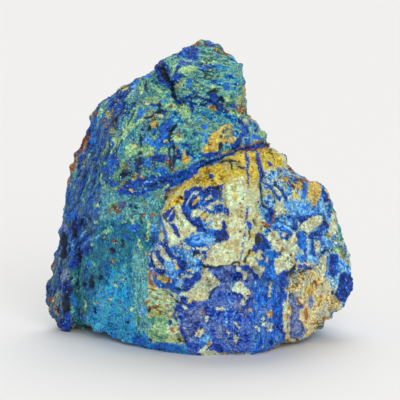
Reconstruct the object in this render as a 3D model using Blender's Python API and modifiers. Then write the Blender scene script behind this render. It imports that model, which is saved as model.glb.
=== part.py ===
"""Azurite specimen: a broken lump of ochre rock, crusted with azurite and malachite, modelled as one solid.

The stone stands on z = 0. Seen from its front, x runs to the right, y to the back and z up.
Its broken shape is a union of convex blocks, one for each mass of rock between two breaks. The
union is remeshed, weathered and carved, thinned to few faces, and cut flat where it rests.
Run it with: blender --background --python part.py
"""

import bmesh
import bpy
from mathutils import Vector, noise
from mathutils.geometry import intersect_point_line

MM = 0.001

# Driving dimensions.
STONE_WIDTH = 80.0 * MM
STONE_DEPTH = 54.0 * MM
STONE_HEIGHT = 77.0 * MM

# How finely the rock is carved, and how many faces it keeps.
CARVING_GRID = 0.75 * MM
FACES_KEPT = 8600
SMOOTHING_ROUNDS = 2
SMOOTHING_SHARE = 0.5

NODE_NAME = "azurite_specimen"
ROCK_BLUE = (0.045, 0.125, 0.34, 1.0)
ROCK_ROUGHNESS = 0.62

# The blocks' corners, in millimetres: x, y (negative at the front), z.
BLOCKS = {
    # The leaning mass from the left foot up to the peak.
    "main mass": (
        (-41, 7, 3.8), (-41.8, 7, 8), (-39, 8, 16.5), (-37.2, 8, 24), (-35.5, 8, 37), (-34.2, 7.5, 45),
        (-30.4, 6, 51.4), (-28.4, 5, 58.8), (-22.6, 5, 64.4), (-15.8, 4, 67.6), (-1, 3, 75), (3.3, 3, 76.6),
        (11, -2, 70.5), (11, -3, 64), (11.8, -3, 58),
        (-38.8, 5, 0.4), (-36, 3, -1.5), (-17, -13, -1.5), (-7.8, -21.5, -1.5), (1.5, -25.6, -1.5),
        (13.4, -24.5, -1.5), (-29.5, -6, 18.5), (-25.5, -13, 21.5), (-25, -13.5, 11.5), (-11.5, -23, 23.5),
        (-10.5, -24.6, 11), (0.5, -26, 14), (13.5, -26, 16.5), (-25.5, -6, 39.5), (-12.5, -18, 40),
        (0.5, -21, 42), (12, -21, 42), (0.5, -15, 58), (9, -14, 55), (-8.5, -10.5, 62), (-22.5, -4, 55),
        (-31, 19, -1.5), (-8, 21, -1.5), (10, 20, -1.5), (-34, 18, 12), (-30, 21, 30), (-25, 17, 46),
        (-10, 25, 8), (-8, 23, 38), (8, 24, 6), (8, 21, 36), (-14, 13, 61), (0, 11, 71), (6, 8, 71),
        (10, 12, 55),
    ),
    # The lower mass that leans against it on the right.
    "right mass": (
        (16, -10, 47), (24, -8, 43), (31.8, 3, 40.3), (34.9, 3.5, 37), (37.7, 3.5, 30.5), (39.8, 3, 24),
        (41.2, 1, 17.5), (41.2, 0, 13.5), (40, -3, 9), (36.2, -6, 5.2), (31.2, -11, 1.8),
        (26.4, -16.5, 1.4), (20.5, -21.5, 2.6), (12.6, -24.5, -1.5), (23, -21, 13), (22, -21.5, 21),
        (34.5, -10, 21), (24, -14.5, 41), (13.5, -21.5, 42), (0, -20, 42), (0, -24, 14), (0, -20, -1.5),
        (21.4, -10, -1.5), (25, 11, -1.5), (0, 18, -1.5), (14, 20, -1.5), (14, 23.5, 6), (14, 22, 30),
        (28, 17, 3), (34.5, 13, 14), (32, 12, 29), (24, 12, 39), (2, 17, 50), (12, 4, 50),
    ),
    # The sloping left shoulder, whose lower rim overhangs the front.
    "shoulder": (
        (-26.5, 1, 57.5), (-23, -6, 55.5), (-24.5, -8, 41.5), (-18, -17, 45), (-8.5, -18.5, 50),
        (-10, -10, 61.5), (-5, -20.5, 46.5), (0.5, -21, 50), (0.5, -15, 60), (9.5, -15.5, 56),
        (11, -17.5, 52.5), (16, -6, 54.8), (20.4, -8, 51.2), (13.8, -4, 57.2), (11.8, -3, 59.5),
        (12, 10, 54), (14, 8, 50), (-10, 4, 50), (-20, 4, 50),
    ),
    # The blunt peak.
    "crown": (
        (1.3, 4, 77), (3.6, 3, 76.8), (4.6, 2, 75.8), (7.5, 0, 73.8), (10.9, -1, 73.4), (11.8, -2, 71.4),
        (11.8, -3, 68), (11.8, -3, 64), (12.4, -3, 60), (-3, 2, 74.4), (-7.5, 0, 72.8), (-10.4, -1, 71.6),
        (-12.8, -1, 69.6), (-5, -7, 70.5), (4.5, -7.5, 72), (10, -8, 69.5), (9.4, -11, 63.5),
        (0.5, -14, 63), (-8.5, -10.5, 62.5), (0, 8, 66), (0, 0, 54),
    ),
    # The bulging ochre slab on the front.
    "ochre slab": (
        (-1, -22.5, 47), (4, -24, 49), (11, -24.5, 51), (14.5, -24, 50.5), (15.5, -27, 38),
        (14.5, -29.5, 23.5), (8, -30.5, 23.5), (1, -30, 23), (-7.5, -28, 17.5), (-11.5, -25, 23.5),
        (-11, -24.5, 31), (-9.5, -23.5, 37), (0, -26.5, 38), (8, -28, 36),
        (0, -12, 45), (14, -12, 45), (14, -16, 26), (0, -16, 25), (-8, -14, 20),
    ),
    # The slab's upper right corner, under the shoulder's end.
    "slab corner": (
        (11, -23.5, 51), (14.5, -24, 50.8), (20.6, -13, 50.8), (23.4, -10.5, 48.4), (21.5, -14, 45),
        (14, -25, 45), (14, -6, 46), (20, -4, 44), (12, -10, 50),
    ),
    # The slab's right half, set back behind the crest.
    "right slab": (
        (14, -22.5, 48), (20, -15, 45.5), (24, -9, 43.4), (31, -2.5, 39.8), (34.4, -4.5, 35),
        (35.8, -7.5, 29), (34.8, -12.5, 24), (31, -18.5, 22), (27, -22.5, 21.5), (22, -26.5, 20),
        (16, -28.5, 20), (15, -26, 36), (23, -22, 33), (30, -14, 30),
        (16, -10, 44), (28, 0, 36), (30, -2, 27), (18, -10, 25),
    ),
    # The upright crest that divides the two slabs.
    "crest": (
        (10.5, -24.5, 50.5), (13.5, -24, 50.5), (11.5, -29, 37), (14.5, -28.5, 36.5),
        (11.5, -31, 23.5), (14.5, -30.5, 23.5), (10, -20, 48), (15, -20, 48), (10, -20, 24), (16, -20, 24),
    ),
    # The blunt blue corner low on the right.
    "right knob": (
        (35, -7.5, 19), (41.2, -3, 19.3), (42, -2, 14), (40.2, -5, 10), (36, -8.5, 13),
        (34, 2, 18), (36, 3, 10), (30, -2, 14),
    ),
    # A plate that the break left standing on the back, and the rib beside it.
    "back plate": (
        (-24, 24, 6), (-27, 23, 22), (-22, 22.5, 36), (-9, 26.5, 37), (-4, 27.5, 24), (-8, 28, 8),
        (-24, 12, 6), (-24, 12, 36), (-6, 12, 34), (-6, 12, 8),
    ),
    "back rib": (
        (8, 25.5, 2), (15, 26, 1.5), (19, 24, 16), (13, 24.5, 33), (5, 19, 52), (1, 19.5, 47), (6, 25.5, 28),
        (8, 10, 2), (16, 10, 4), (8, 8, 46), (2, 10, 46),
    ),
}

# What is broken out of the underside, between the left foot and the front.
UNDERSIDE_NOTCH = (
    (-34.6, 1.5, -3), (-32.6, 14, -3), (-27.5, 15, -3), (-41, -5, -3), (-24, -24, -3), (-14, -17, -3),
    (-10, -10, -3), (-36, -10, 5), (-31, -14, 5.2), (-31.4, 0, 3.6), (-29, 0, 3.4), (-29.6, 10, 1.8),
    (-26, -8, 3.2), (-25.4, 0, 1), (-18, -14, 0.4),
)

# Grooves and pits on the front: width and depth in millimetres, and the x, z points they follow.
GROOVES = {
    "seam under the shoulder": (
        2.2, 1.8, ((-25, 35), (-18, 39.5), (-9, 41.5), (0, 46), (10.5, 51), (17.5, 50.5)),
    ),
    "left fissure": (1.9, 3.0, ((-29.5, 31.5), (-32.5, 24), (-34, 16), (-33.8, 8.5), (-34, 1))),
    "left pit of the crown": (1.7, 3.4, ((-9, 69.5), (-7.5, 67), (-6.5, 65), (-6, 62.5))),
    "right pit of the crown": (1.9, 2.6, ((2.5, 64.5), (5, 64), (6.5, 62.5))),
    "crease at the crown's foot": (1.4, 1.0, ((1.5, 62), (8, 59.5), (12.5, 57.5))),
    "gully beside the crest": (2.0, 1.8, ((16, 44), (16.5, 37), (17, 29.5))),
}

# Ridges on the front: width and height in millimetres, and the x, z points they follow.
RIDGES = {
    "rib right of the blue floor": (1.6, 0.9, ((21.8, 21), (22.2, 13), (22.8, 4))),
    "fold round the swirl": (1.8, 0.8, ((-8.5, 36), (-4, 42), (3, 44.5), (8, 41), (9, 33), (6.5, 26))),
}

# Hollows between folds of the ochre: radius and depth in millimetres, and their centre's x, z.
HOLLOWS = {
    "upper swirl": (6.5, 1.5, (0.5, 36.5)),
    "lower swirl": (6.0, 1.3, (-6.5, 23.5)),
    "right face": (5.5, 1.0, (22.0, 37.0)),
}

# How far a face leans to the front (the y of its normal, turned round) before marks carve it at all
# and in full, and the share of a groove's width or a hollow's radius that has the full depth.
CARVED_FROM_LEAN = 0.05
CARVED_IN_FULL_LEAN = 0.35
MARK_FLOOR_SHARE = 0.15
HOLLOW_FLOOR_SHARE = 0.45

# Broken layers: the way across them, the spacing, the step's height, and how their edges wander.
LAYER_NORMAL = Vector((-0.80, -0.35, 0.48)).normalized()
LAYER_SPACING = 5.2 * MM
LAYER_STEP = 0.8 * MM
LAYER_WANDER_TURNS = 0.6
LAYER_WANDER_SIZE = 11.0 * MM

# The layers show on the upper half, and on faces that lean to the back.
LAYERS_START_Z = 40.0 * MM
LAYERS_FULL_Z = 50.0 * MM
LAYERED_FROM_LEAN_BACK = 0.1
LAYERED_IN_FULL_LEAN_BACK = 0.6

# The rough break: size and height of its lumps.
LUMPS = ((14.0 * MM, 0.8 * MM), (6.0 * MM, 0.8 * MM), (2.8 * MM, 0.45 * MM))

# The block that cuts the stone flat where it rests.
CUTTER_THICKNESS = 20.0 * MM
CUTTER_OVERSIZE = 2.0


def in_millimetres(corners):
    return [Vector(corner) * MM for corner in corners]


def collection_named(name):
    made = bpy.data.collections.new(name)
    bpy.context.scene.collection.children.link(made)
    return made


def hull_object(name, corners, collection):
    """A convex block around its corners, as a guide that isn't rendered."""
    shape = bmesh.new()
    for corner in in_millimetres(corners):
        shape.verts.new(corner)
    hull = bmesh.ops.convex_hull(shape, input=shape.verts)
    inside = {item for item in hull["geom_interior"] if isinstance(item, bmesh.types.BMVert)}
    bmesh.ops.delete(shape, geom=list(inside), context="VERTS")
    bmesh.ops.recalc_face_normals(shape, faces=shape.faces)
    mesh = bpy.data.meshes.new(name)
    shape.to_mesh(mesh)
    shape.free()
    block = bpy.data.objects.new(name, mesh)
    block.hide_render = True
    block.display_type = "WIRE"
    collection.objects.link(block)
    return block


def add_boolean(target, other, operation):
    modifier = target.modifiers.new(f"{operation.lower()} {other.name}", "BOOLEAN")
    modifier.operation = operation
    modifier.object = other
    modifier.solver = "EXACT"


def evaluated_mesh(target):
    graph = bpy.context.evaluated_depsgraph_get()
    return bpy.data.meshes.new_from_object(target.evaluated_get(graph))


def joined_blocks(collection):
    """All blocks as one even mesh of the carving grid."""
    blocks = [hull_object(name, corners, collection) for name, corners in BLOCKS.items()]
    first = blocks[0]
    for other in blocks[1:]:
        add_boolean(first, other, "UNION")
    add_boolean(first, hull_object("underside notch", UNDERSIDE_NOTCH, collection), "DIFFERENCE")
    grid = first.modifiers.new("carving grid", "REMESH")
    grid.mode = "VOXEL"
    grid.voxel_size = CARVING_GRID
    mesh = evaluated_mesh(first)
    mesh.name = NODE_NAME
    return mesh


def smooth_step(low, high, value):
    share = min(1.0, max(0.0, (value - low) / (high - low)))
    return share * share * (3.0 - 2.0 * share)


def distance_to_path(point, path):
    """The shortest way from a point to a path of straight stretches, in one plane."""
    best = None
    for start, end in zip(path, path[1:]):
        foot, share = intersect_point_line(point, start, end)
        foot = start.lerp(end, min(1.0, max(0.0, share)))
        reach = (point - foot).length
        best = reach if best is None else min(best, reach)
    return best


def roughness_at(place):
    """How far the rough break lifts the surface here."""
    lift = 0.0
    for size, height in LUMPS:
        lift += height * noise.noise(place / size)
    return lift


def layer_step_at(place, facing_back):
    """A slow rise and a sudden drop, again and again across the layers."""
    wander = LAYER_WANDER_TURNS * noise.noise(place / LAYER_WANDER_SIZE)
    turns = place.dot(LAYER_NORMAL) / LAYER_SPACING + wander
    share = turns % 1.0
    upper = smooth_step(LAYERS_START_Z, LAYERS_FULL_Z, place.z)
    behind = smooth_step(LAYERED_FROM_LEAN_BACK, LAYERED_IN_FULL_LEAN_BACK, facing_back)
    return LAYER_STEP * (share - 0.5) * max(upper, behind)


def paths_on_front(marks):
    """Grooves or ridges in metres, with their paths laid on the plane y = 0."""
    return [
        (width * MM, size * MM, [Vector((x, 0.0, z)) * MM for x, z in path])
        for width, size, path in marks.values()
    ]


def strongest_mark_at(place, marks):
    """How deep the grooves go here, or how high the ridges stand."""
    strongest = 0.0
    flat = Vector((place.x, 0.0, place.z))
    for width, size, path in marks:
        reach = distance_to_path(flat, path)
        fade = smooth_step(MARK_FLOOR_SHARE * width, width, reach)
        strongest = max(strongest, size * (1.0 - fade))
    return strongest


def hollow_depth_at(place):
    """How deep the front's hollows go here."""
    depth = 0.0
    for radius, deep, (x, z) in HOLLOWS.values():
        reach = Vector((place.x / MM - x, place.z / MM - z)).length
        fade = smooth_step(HOLLOW_FLOOR_SHARE * radius, radius, reach)
        depth = max(depth, deep * MM * (1.0 - fade))
    return depth


def wear(shape):
    """Rounds the blocks' hard edges a little."""
    for _ in range(SMOOTHING_ROUNDS):
        bmesh.ops.smooth_vert(
            shape,
            verts=shape.verts,
            factor=SMOOTHING_SHARE,
            use_axis_x=True,
            use_axis_y=True,
            use_axis_z=True,
        )
    shape.normal_update()


def sculpt(mesh):
    """Weathers the whole stone, and carves grooves, ridges and hollows into its front."""
    shape = bmesh.new()
    shape.from_mesh(mesh)
    wear(shape)
    grooves = paths_on_front(GROOVES)
    ridges = paths_on_front(RIDGES)
    moves = []
    for vert in shape.verts:
        lift = roughness_at(vert.co) + layer_step_at(vert.co, vert.normal.y)
        towards_front = smooth_step(CARVED_FROM_LEAN, CARVED_IN_FULL_LEAN, -vert.normal.y)
        if towards_front > 0.0:
            carved = strongest_mark_at(vert.co, grooves) + hollow_depth_at(vert.co)
            lift += towards_front * (strongest_mark_at(vert.co, ridges) - carved)
        moves.append(vert.normal * lift)
    for vert, move in zip(shape.verts, moves):
        vert.co += move
    shape.to_mesh(mesh)
    shape.free()


def fit_to_size(mesh):
    """Scales the stone to its driving dimensions, centred over the origin, with its cut at z = 0."""
    xs, ys, zs = zip(*(vert.co for vert in mesh.vertices))
    middle = Vector(((min(xs) + max(xs)) / 2, (min(ys) + max(ys)) / 2, 0.0))
    scale = (
        STONE_WIDTH / (max(xs) - min(xs)),
        STONE_DEPTH / (max(ys) - min(ys)),
        STONE_HEIGHT / max(zs),
    )
    for vert in mesh.vertices:
        vert.co = Vector(a * b for a, b in zip(vert.co - middle, scale))


def floor_cutter(collection):
    """A block whose top is z = 0, below everything that the stone keeps."""
    bpy.ops.mesh.primitive_cube_add(size=1.0)
    cutter = bpy.context.object
    cutter.name = "floor cutter"
    for vert in cutter.data.vertices:
        vert.co.x *= CUTTER_OVERSIZE * STONE_WIDTH
        vert.co.y *= CUTTER_OVERSIZE * STONE_DEPTH
        vert.co.z = (vert.co.z - 0.5) * CUTTER_THICKNESS
    cutter.hide_render = True
    cutter.display_type = "WIRE"
    for home in cutter.users_collection:
        home.objects.unlink(cutter)
    collection.objects.link(cutter)
    return cutter


def rock_material():
    material = bpy.data.materials.new("azurite rock")
    material.use_nodes = True
    shader = material.node_tree.nodes["Principled BSDF"]
    shader.inputs["Base Color"].default_value = ROCK_BLUE
    shader.inputs["Roughness"].default_value = ROCK_ROUGHNESS
    shader.inputs["Metallic"].default_value = 0.0
    return material


def build_stone():
    for old in list(bpy.data.objects):
        bpy.data.objects.remove(old)
    parts = collection_named("azurite specimen")
    cutters = collection_named("cutters")
    mesh = joined_blocks(cutters)
    sculpt(mesh)
    fit_to_size(mesh)
    mesh.materials.clear()
    mesh.materials.append(rock_material())
    stone = bpy.data.objects.new(NODE_NAME, mesh)
    parts.objects.link(stone)
    thin = stone.modifiers.new("few faces", "DECIMATE")
    thin.ratio = min(1.0, FACES_KEPT / (2.0 * len(mesh.polygons)))
    add_boolean(stone, floor_cutter(cutters), "DIFFERENCE")
    return stone


build_stone()
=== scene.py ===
"""Dresses the azurite specimen: carved stone, mineral colours, loose grains, floor, light and camera.

Lengths in the tables are in millimetres unless a name says otherwise.
"""

import math

import bmesh
import bpy
import numpy as np
from mathutils import Euler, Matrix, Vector, noise


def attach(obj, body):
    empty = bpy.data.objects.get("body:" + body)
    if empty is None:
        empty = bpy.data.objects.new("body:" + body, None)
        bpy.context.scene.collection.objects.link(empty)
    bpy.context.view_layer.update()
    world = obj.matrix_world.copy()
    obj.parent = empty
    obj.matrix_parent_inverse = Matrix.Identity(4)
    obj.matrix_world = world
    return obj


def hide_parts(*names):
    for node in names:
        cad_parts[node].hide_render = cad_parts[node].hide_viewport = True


bl_info = {
    "name": "Azurite Specimen",
    "version": (1, 0, 0),
    "blender": (4, 5, 0),
    "location": "View3D > Sidebar > Azurite",
    "description": "Builds an azurite, malachite and clay specimen on its stand-alone floor",
    "category": "Object",
}

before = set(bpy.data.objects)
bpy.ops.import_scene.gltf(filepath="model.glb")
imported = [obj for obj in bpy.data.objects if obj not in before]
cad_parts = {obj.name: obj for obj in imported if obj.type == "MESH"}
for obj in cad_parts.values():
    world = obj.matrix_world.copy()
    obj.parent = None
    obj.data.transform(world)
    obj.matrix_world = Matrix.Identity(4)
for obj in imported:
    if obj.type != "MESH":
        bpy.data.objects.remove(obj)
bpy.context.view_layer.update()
STONE_NODE = "azurite_specimen"
STONE_HEIGHT = 77.0
MM = 0.001

# The front view: one step is 0.26 mm at the point that the camera looks at.
STEP = 0.26
VIEW_MIDDLE = 200
VIEW_ELEVATION = math.radians(10)
VIEW_DISTANCE = 577.8
VIEW_AIM = np.array((0.52, -0.316, 36.208))
VIEW_BACK = np.array((0, -math.cos(VIEW_ELEVATION), math.sin(VIEW_ELEVATION)))
VIEW_UP = np.array((0, math.sin(VIEW_ELEVATION), math.cos(VIEW_ELEVATION)))

# Directions that the layers and fibres run in: lean in degrees, size of one streak along each axis,
# and where the pattern starts.
STREAKS = {
    "upright": ((4, 3, 0), (0.9, 0.9, 5.0), 0.0),
    "leaning": ((4, 17, 0), (0.8, 0.8, 3.6), 17.0),
    "layered": ((36, -58, 0), (4.0, 4.0, 0.8), 31.0),
    "wavy": ((12, 8, 0), (3.6, 3.6, 0.9), 67.0),
    "mottled": ((0, 0, 0), (1.3, 1.3, 1.3), 103.0),
}

# Rock faces: streak, height of their relief, colours, liking for the unseen sides (right, back,
# up, and a constant), and their outlines in the front view.
GROUNDS = {
    "left_face": (
        "leaning", 0.34, "1e2858 2e4488 3a5ea8 4472be 4e6c94 5a84b4 466478 728c84",
        (-2.2, 0.4, 0.2, 0.0), "40,340 40,200 60,120 85,95 110,75 138,78 130,98 120,122 113,150 107,178"
        " 103,200 96,228 88,262 76,290 74,340",
    ),
    "left_low": (
        "leaning", 0.42, "12183a 202e70 34486a 425e86 4e7a7c 3c5264 747858 78949a",
        (-1.6, 0.2, -1.6, -0.3), "40,262 74,256 86,262 82,290 77,320 79,340 40,345",
    ),
    "shoulder": (
        "layered", 0.42, "20386e 3062b4 337ea4 60a09a 305ea0 8cc096 407ea8 829268 306ab8 60a8c0",
        (-0.6, 1.2, 1.0, 0.3), "138,78 150,60 152,100 150,112 168,150 172,168 140,166 118,190 103,200"
        " 107,178 113,150 120,122 130,98",
    ),
    "middle": (
        "mottled", 0.28, "1f3f70 2565b0 3a80b8 4f9ac0 78b8b0 86a880 5a6e50 3f7090",
        (0.0, 1.4, 0.2, 0.3), "152,112 222,112 238,116 245,118 240,150 203,152 200,168 168,168 166,140",
    ),
    "crown": (
        "wavy", 0.42, "142a60 2256b4 428ec2 5a9ea8 84c0aa 7a9c7e 46685e 3a7492",
        (0.0, 0.4, 2.2, 0.3), "150,30 250,30 246,106 222,112 205,112 160,112 150,100",
    ),
    "slope": (
        "layered", 0.36, "26407a 2f58b0 5080c0 84a8b4 a8b884 84774a 60808c",
        (1.2, 0.0, 0.6, -0.8), "236,104 250,100 280,150 240,150 240,118",
    ),
    # The lens is the underside of the overhang above the seam: its deep navy is azurite's own colour, made
    # darker with painted shade.
    "lens": (
        "wavy", 0.2, "081c70 0c2e9c 103cb4 1850cc 24509c 142e80 4078b0 485c64",
        (0.0, 0.0, -0.3, -1.5), "118,190 130,182 145,178 170,176 200,160 240,150 270,146 270,154"
        " 236,156 215,163 190,182 168,182 160,188 150,191 140,197 130,194 120,194",
    ),
    "teal_shade": (
        "leaning", 0.36, "14303c 1e4c64 2c6474 3c7c84 285878 4c8c80 1c3c54",
        (-0.9, 0.6, -1.0, -0.5), "72,262 86,254 97,262 96,290 92,308 90,328 74,330 70,300",
    ),
    "turquoise": (
        "mottled", 0.22, "38627c 48869e 5e9eaa 76b6b8 82c2bc 56a0c2 6c826a 3c80b0",
        (-0.2, 0.9, -0.3, 0.0), "104,190 120,194 140,198 160,190 166,200 162,222 152,222 140,224"
        " 122,218 104,222",
    ),
    "turquoise_column": (
        "upright", 0.22, "38627c 48869e 5e9eaa 76b6b8 82c2bc 56a0c2 6c826a 3c80b0",
        (-0.4, 0.5, -0.3, -0.5), "136,240 150,240 150,270 148,308 152,330 136,330 132,290",
    ),
    "teal": (
        "mottled", 0.22, "1a4062 1c5690 2066a8 307aa0 2e6a80 448680 50989c 225e90",
        (-0.6, 1.4, -0.8, 0.2), "99,222 122,218 140,224 160,222 152,250 150,262 136,240 132,290 136,306"
        " 94,308 79,308 84,275 92,245",
    ),
    "blue_foot": (
        "mottled", 0.22, "2c7494 3088c0 3ca6e0 58b8dc 4ca0b4 68b09c 3480e0",
        (0.0, 0.6, -1.8, -0.3), "94,304 100,282 106,292 114,268 120,276 126,262 132,290 136,306 136,330"
        " 150,334 190,345 190,360 76,345 84,325",
    ),
    "clay": (
        "wavy", 0.16, "86763c a29048 aea262 b4b086 b4c0a2 a8bca6 a4a274 b8c4aa",
        (0.2, 1.2, -0.2, -0.1), "164,212 176,200 190,186 215,166 236,156 270,150 283,156 290,170"
        " 262,172 258,200 262,262 240,266 205,266 205,300 180,304 176,288 150,288 150,275 154,254"
        " 163,246 165,236 164,222",
    ),
    "ochre_clay": (
        "mottled", 0.3, "765e24 947a2e aa9444 baa854 c2b66a b6a44e 9c8a3c aea26a",
        (0.4, 0.3, 0.2, -0.5), "163,212 168,207 171,202 176,197 182,191 187,185 191,179 203,169 215,162"
        " 229,157 236,152 246,150 270,150 281,157 280,166 262,169 257,180 249,182 244,177 234,180"
        " 227,186 222,190 205,187 196,188 190,191 184,200 180,206 172,210",
    ),
    "swirl": (
        "mottled", 0.3, "16307c 2858bc 3f88d8 74b0e4 b0c0b0 c0b890 948450 306cd0",
        (0.3, 0.3, -0.2, -0.9), "186,192 222,187 226,212 222,248 210,262 204,280 190,300 168,296"
        " 150,280 150,256 165,242 184,240 196,232 180,210",
    ),
    "green_clay": (
        "wavy", 0.26, "645a2c 909454 94a87c a8b48c bcc8a8 7cb09c 5ca0a8 848248",
        (0.0, 1.0, -0.8, -0.6), "150,288 176,288 180,304 182,330 186,345 150,340 152,320 148,308",
    ),
    "right_field": (
        "mottled", 0.36, "2c4a84 4476be 5a9ae0 8ac4ec 8caab6 c2d0b0 bab884 78a0c2",
        (2.0, 0.2, 0.2, -0.1), "260,172 290,170 300,178 320,182 330,200 330,215 296,262 290,268 262,262"
        " 258,200",
    ),
    "lower_face": (
        "mottled", 0.26, "1c2a68 3448a0 4458b8 5a74cc 445cac 7898cc 3c58b8 94a4b8 2c3c84",
        (0.6, 1.0, -1.4, -0.2), "176,304 205,300 205,266 240,266 258,262 252,290 250,345 254,356"
        " 190,356 180,330",
    ),
    "lower_right": (
        "upright", 0.26, "26409c 3458c0 4478d8 5a94e0 3c60b8 88aed0 2c4cb0 4a70a8",
        (0.9, 0.4, -1.2, -0.6), "254,262 268,262 294,266 284,275 284,345 266,352 250,352 250,300",
    ),
    "tan_clay": (
        "mottled", 0.42, "866a3c a8905a b8a878 c4b888 ccc8a0 a8ae98 8490a0 c0b080",
        (1.4, 0.2, -1.6, -0.2), "288,270 296,262 318,262 328,278 338,290 340,305 320,325 300,345"
        " 286,345",
    ),
    "right_strip": (
        "mottled", 0.36, "3f6094 4878ca 68a0d2 70b0f4 8cb8ca b4c6a8 ccdcd8 7a9890",
        (2.0, 0.4, -0.2, 0.0), "320,182 330,190 358,262 360,285 348,308 334,296 326,280 314,262 300,262"
        " 296,240 306,220 328,216 328,200",
    ),
}

# Minerals, in the order that they overlap: deep and pale colour, how far they stand up, and on
# the unseen sides the size of one patch and the share of the rock that it covers.
MINERALS = {
    "teal": ("22606e", "7cc0b4", 0.0, 11.0, 0.08),
    "green": ("3c7c62", "b0cc98", 0.12, 9.0, 0.09),
    "olive": ("4c4a2a", "a8a878", 0.1, 6.0, 0.05),
    "sky": ("1c58c4", "94d0f0", 0.06, 9.0, 0.08),
    "blue": ("10288c", "3c8cec", 0.0, 10.0, 0.14),
    "dusty": ("2c3a7c", "8c9cc0", 0.0, 5.0, 0.03),
    "cream": ("9c8e66", "bed4b8", 0.34, 11.0, 0.1),
    "ochre": ("90702a", "cab864", 0.24, 7.0, 0.05),
    "rust": ("40180c", "a06434", 0.08, 3.0, 0.014),
    "navy": ("0a1248", "2c54c4", -0.14, 8.0, 0.1),
    # Dark is partly a dark mineral and partly painted shade: in the cavity, slot and hollow, in cracks and
    # gullies, and under ledges and shelves.
    "dark": ("060812", "283048", -0.5, 7.0, 0.012),
}

# Loose grains grown on the crust: how many, size, stretch, colours, roughness, and the rock faces
# and minerals that they sit on.
GRAINS = {
    "azurite_grains": (6000, (0.3, 0.66), 1.4, "102470 2040a8 3460c4 4c80d4 6ca8e4", 0.35,
        "left_low lens swirl lower_face lower_right blue_foot blue navy dusty"),
    "malachite_grains": (4500, (0.3, 0.6), 1.1, "2c5c60 3c8484 5aa494 84c0a0 b4d4a4", 0.6,
        "shoulder crown slope turquoise turquoise_column green_clay green olive"),
    "clay_crumbs": (2200, (0.3, 0.6), 1.2, "8c7438 b09c60 bcb080 ccc8a4 dcd8c0", 0.9,
        "clay ochre_clay green_clay tan_clay cream ochre rust"),
}
GRAIN_SEED = 20

# Places in the front view where the broken outline is pushed out or drawn in: place, reach, push.
NUDGES = (
    ("226,50", 9, -1.5), ("238,60", 8, -1.0), ("246,72", 11, -1.4), ("219,42", 6, -0.8),
    ("195,42", 6, -0.8), ("177,49", 8, -1.1), ("127,81", 9, -1.2), ("79,156", 10, 1.4),
    ("74,168", 8, 0.9), ("311,177", 9, -1.8), ("297,170", 8, -1.0), ("302,174", 6, -1.0),
    ("49,274", 8, -1.2), ("56,254", 7, 0.9), ("87,124", 8, -1.1), ("269,140", 9, -1.4),
    ("335,315", 9, -1.3), ("328,323", 8, -1.7), ("54,322", 8, -0.8), ("82,326", 9, 1.0),
    ("112,338", 12, 0.9), ("98,329", 9, 1.2), ("285,345", 12, -0.8), ("62,232", 8, 0.8),
    ("279,153", 7, -0.4), ("262,129", 7, -0.9), ("318,330", 8, -1.0), ("311,337", 8, -0.9),
)

# Places in the front view where the bottom edge is chipped off the floor: place, reach, rise.
CHIPS = (
    ("262,350", 12, 0.8), ("276,347", 14, 1.2), ("290,346", 14, 0.9), ("304,342", 12, 0.7),
    ("236,357", 12, 0.5),
)
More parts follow.
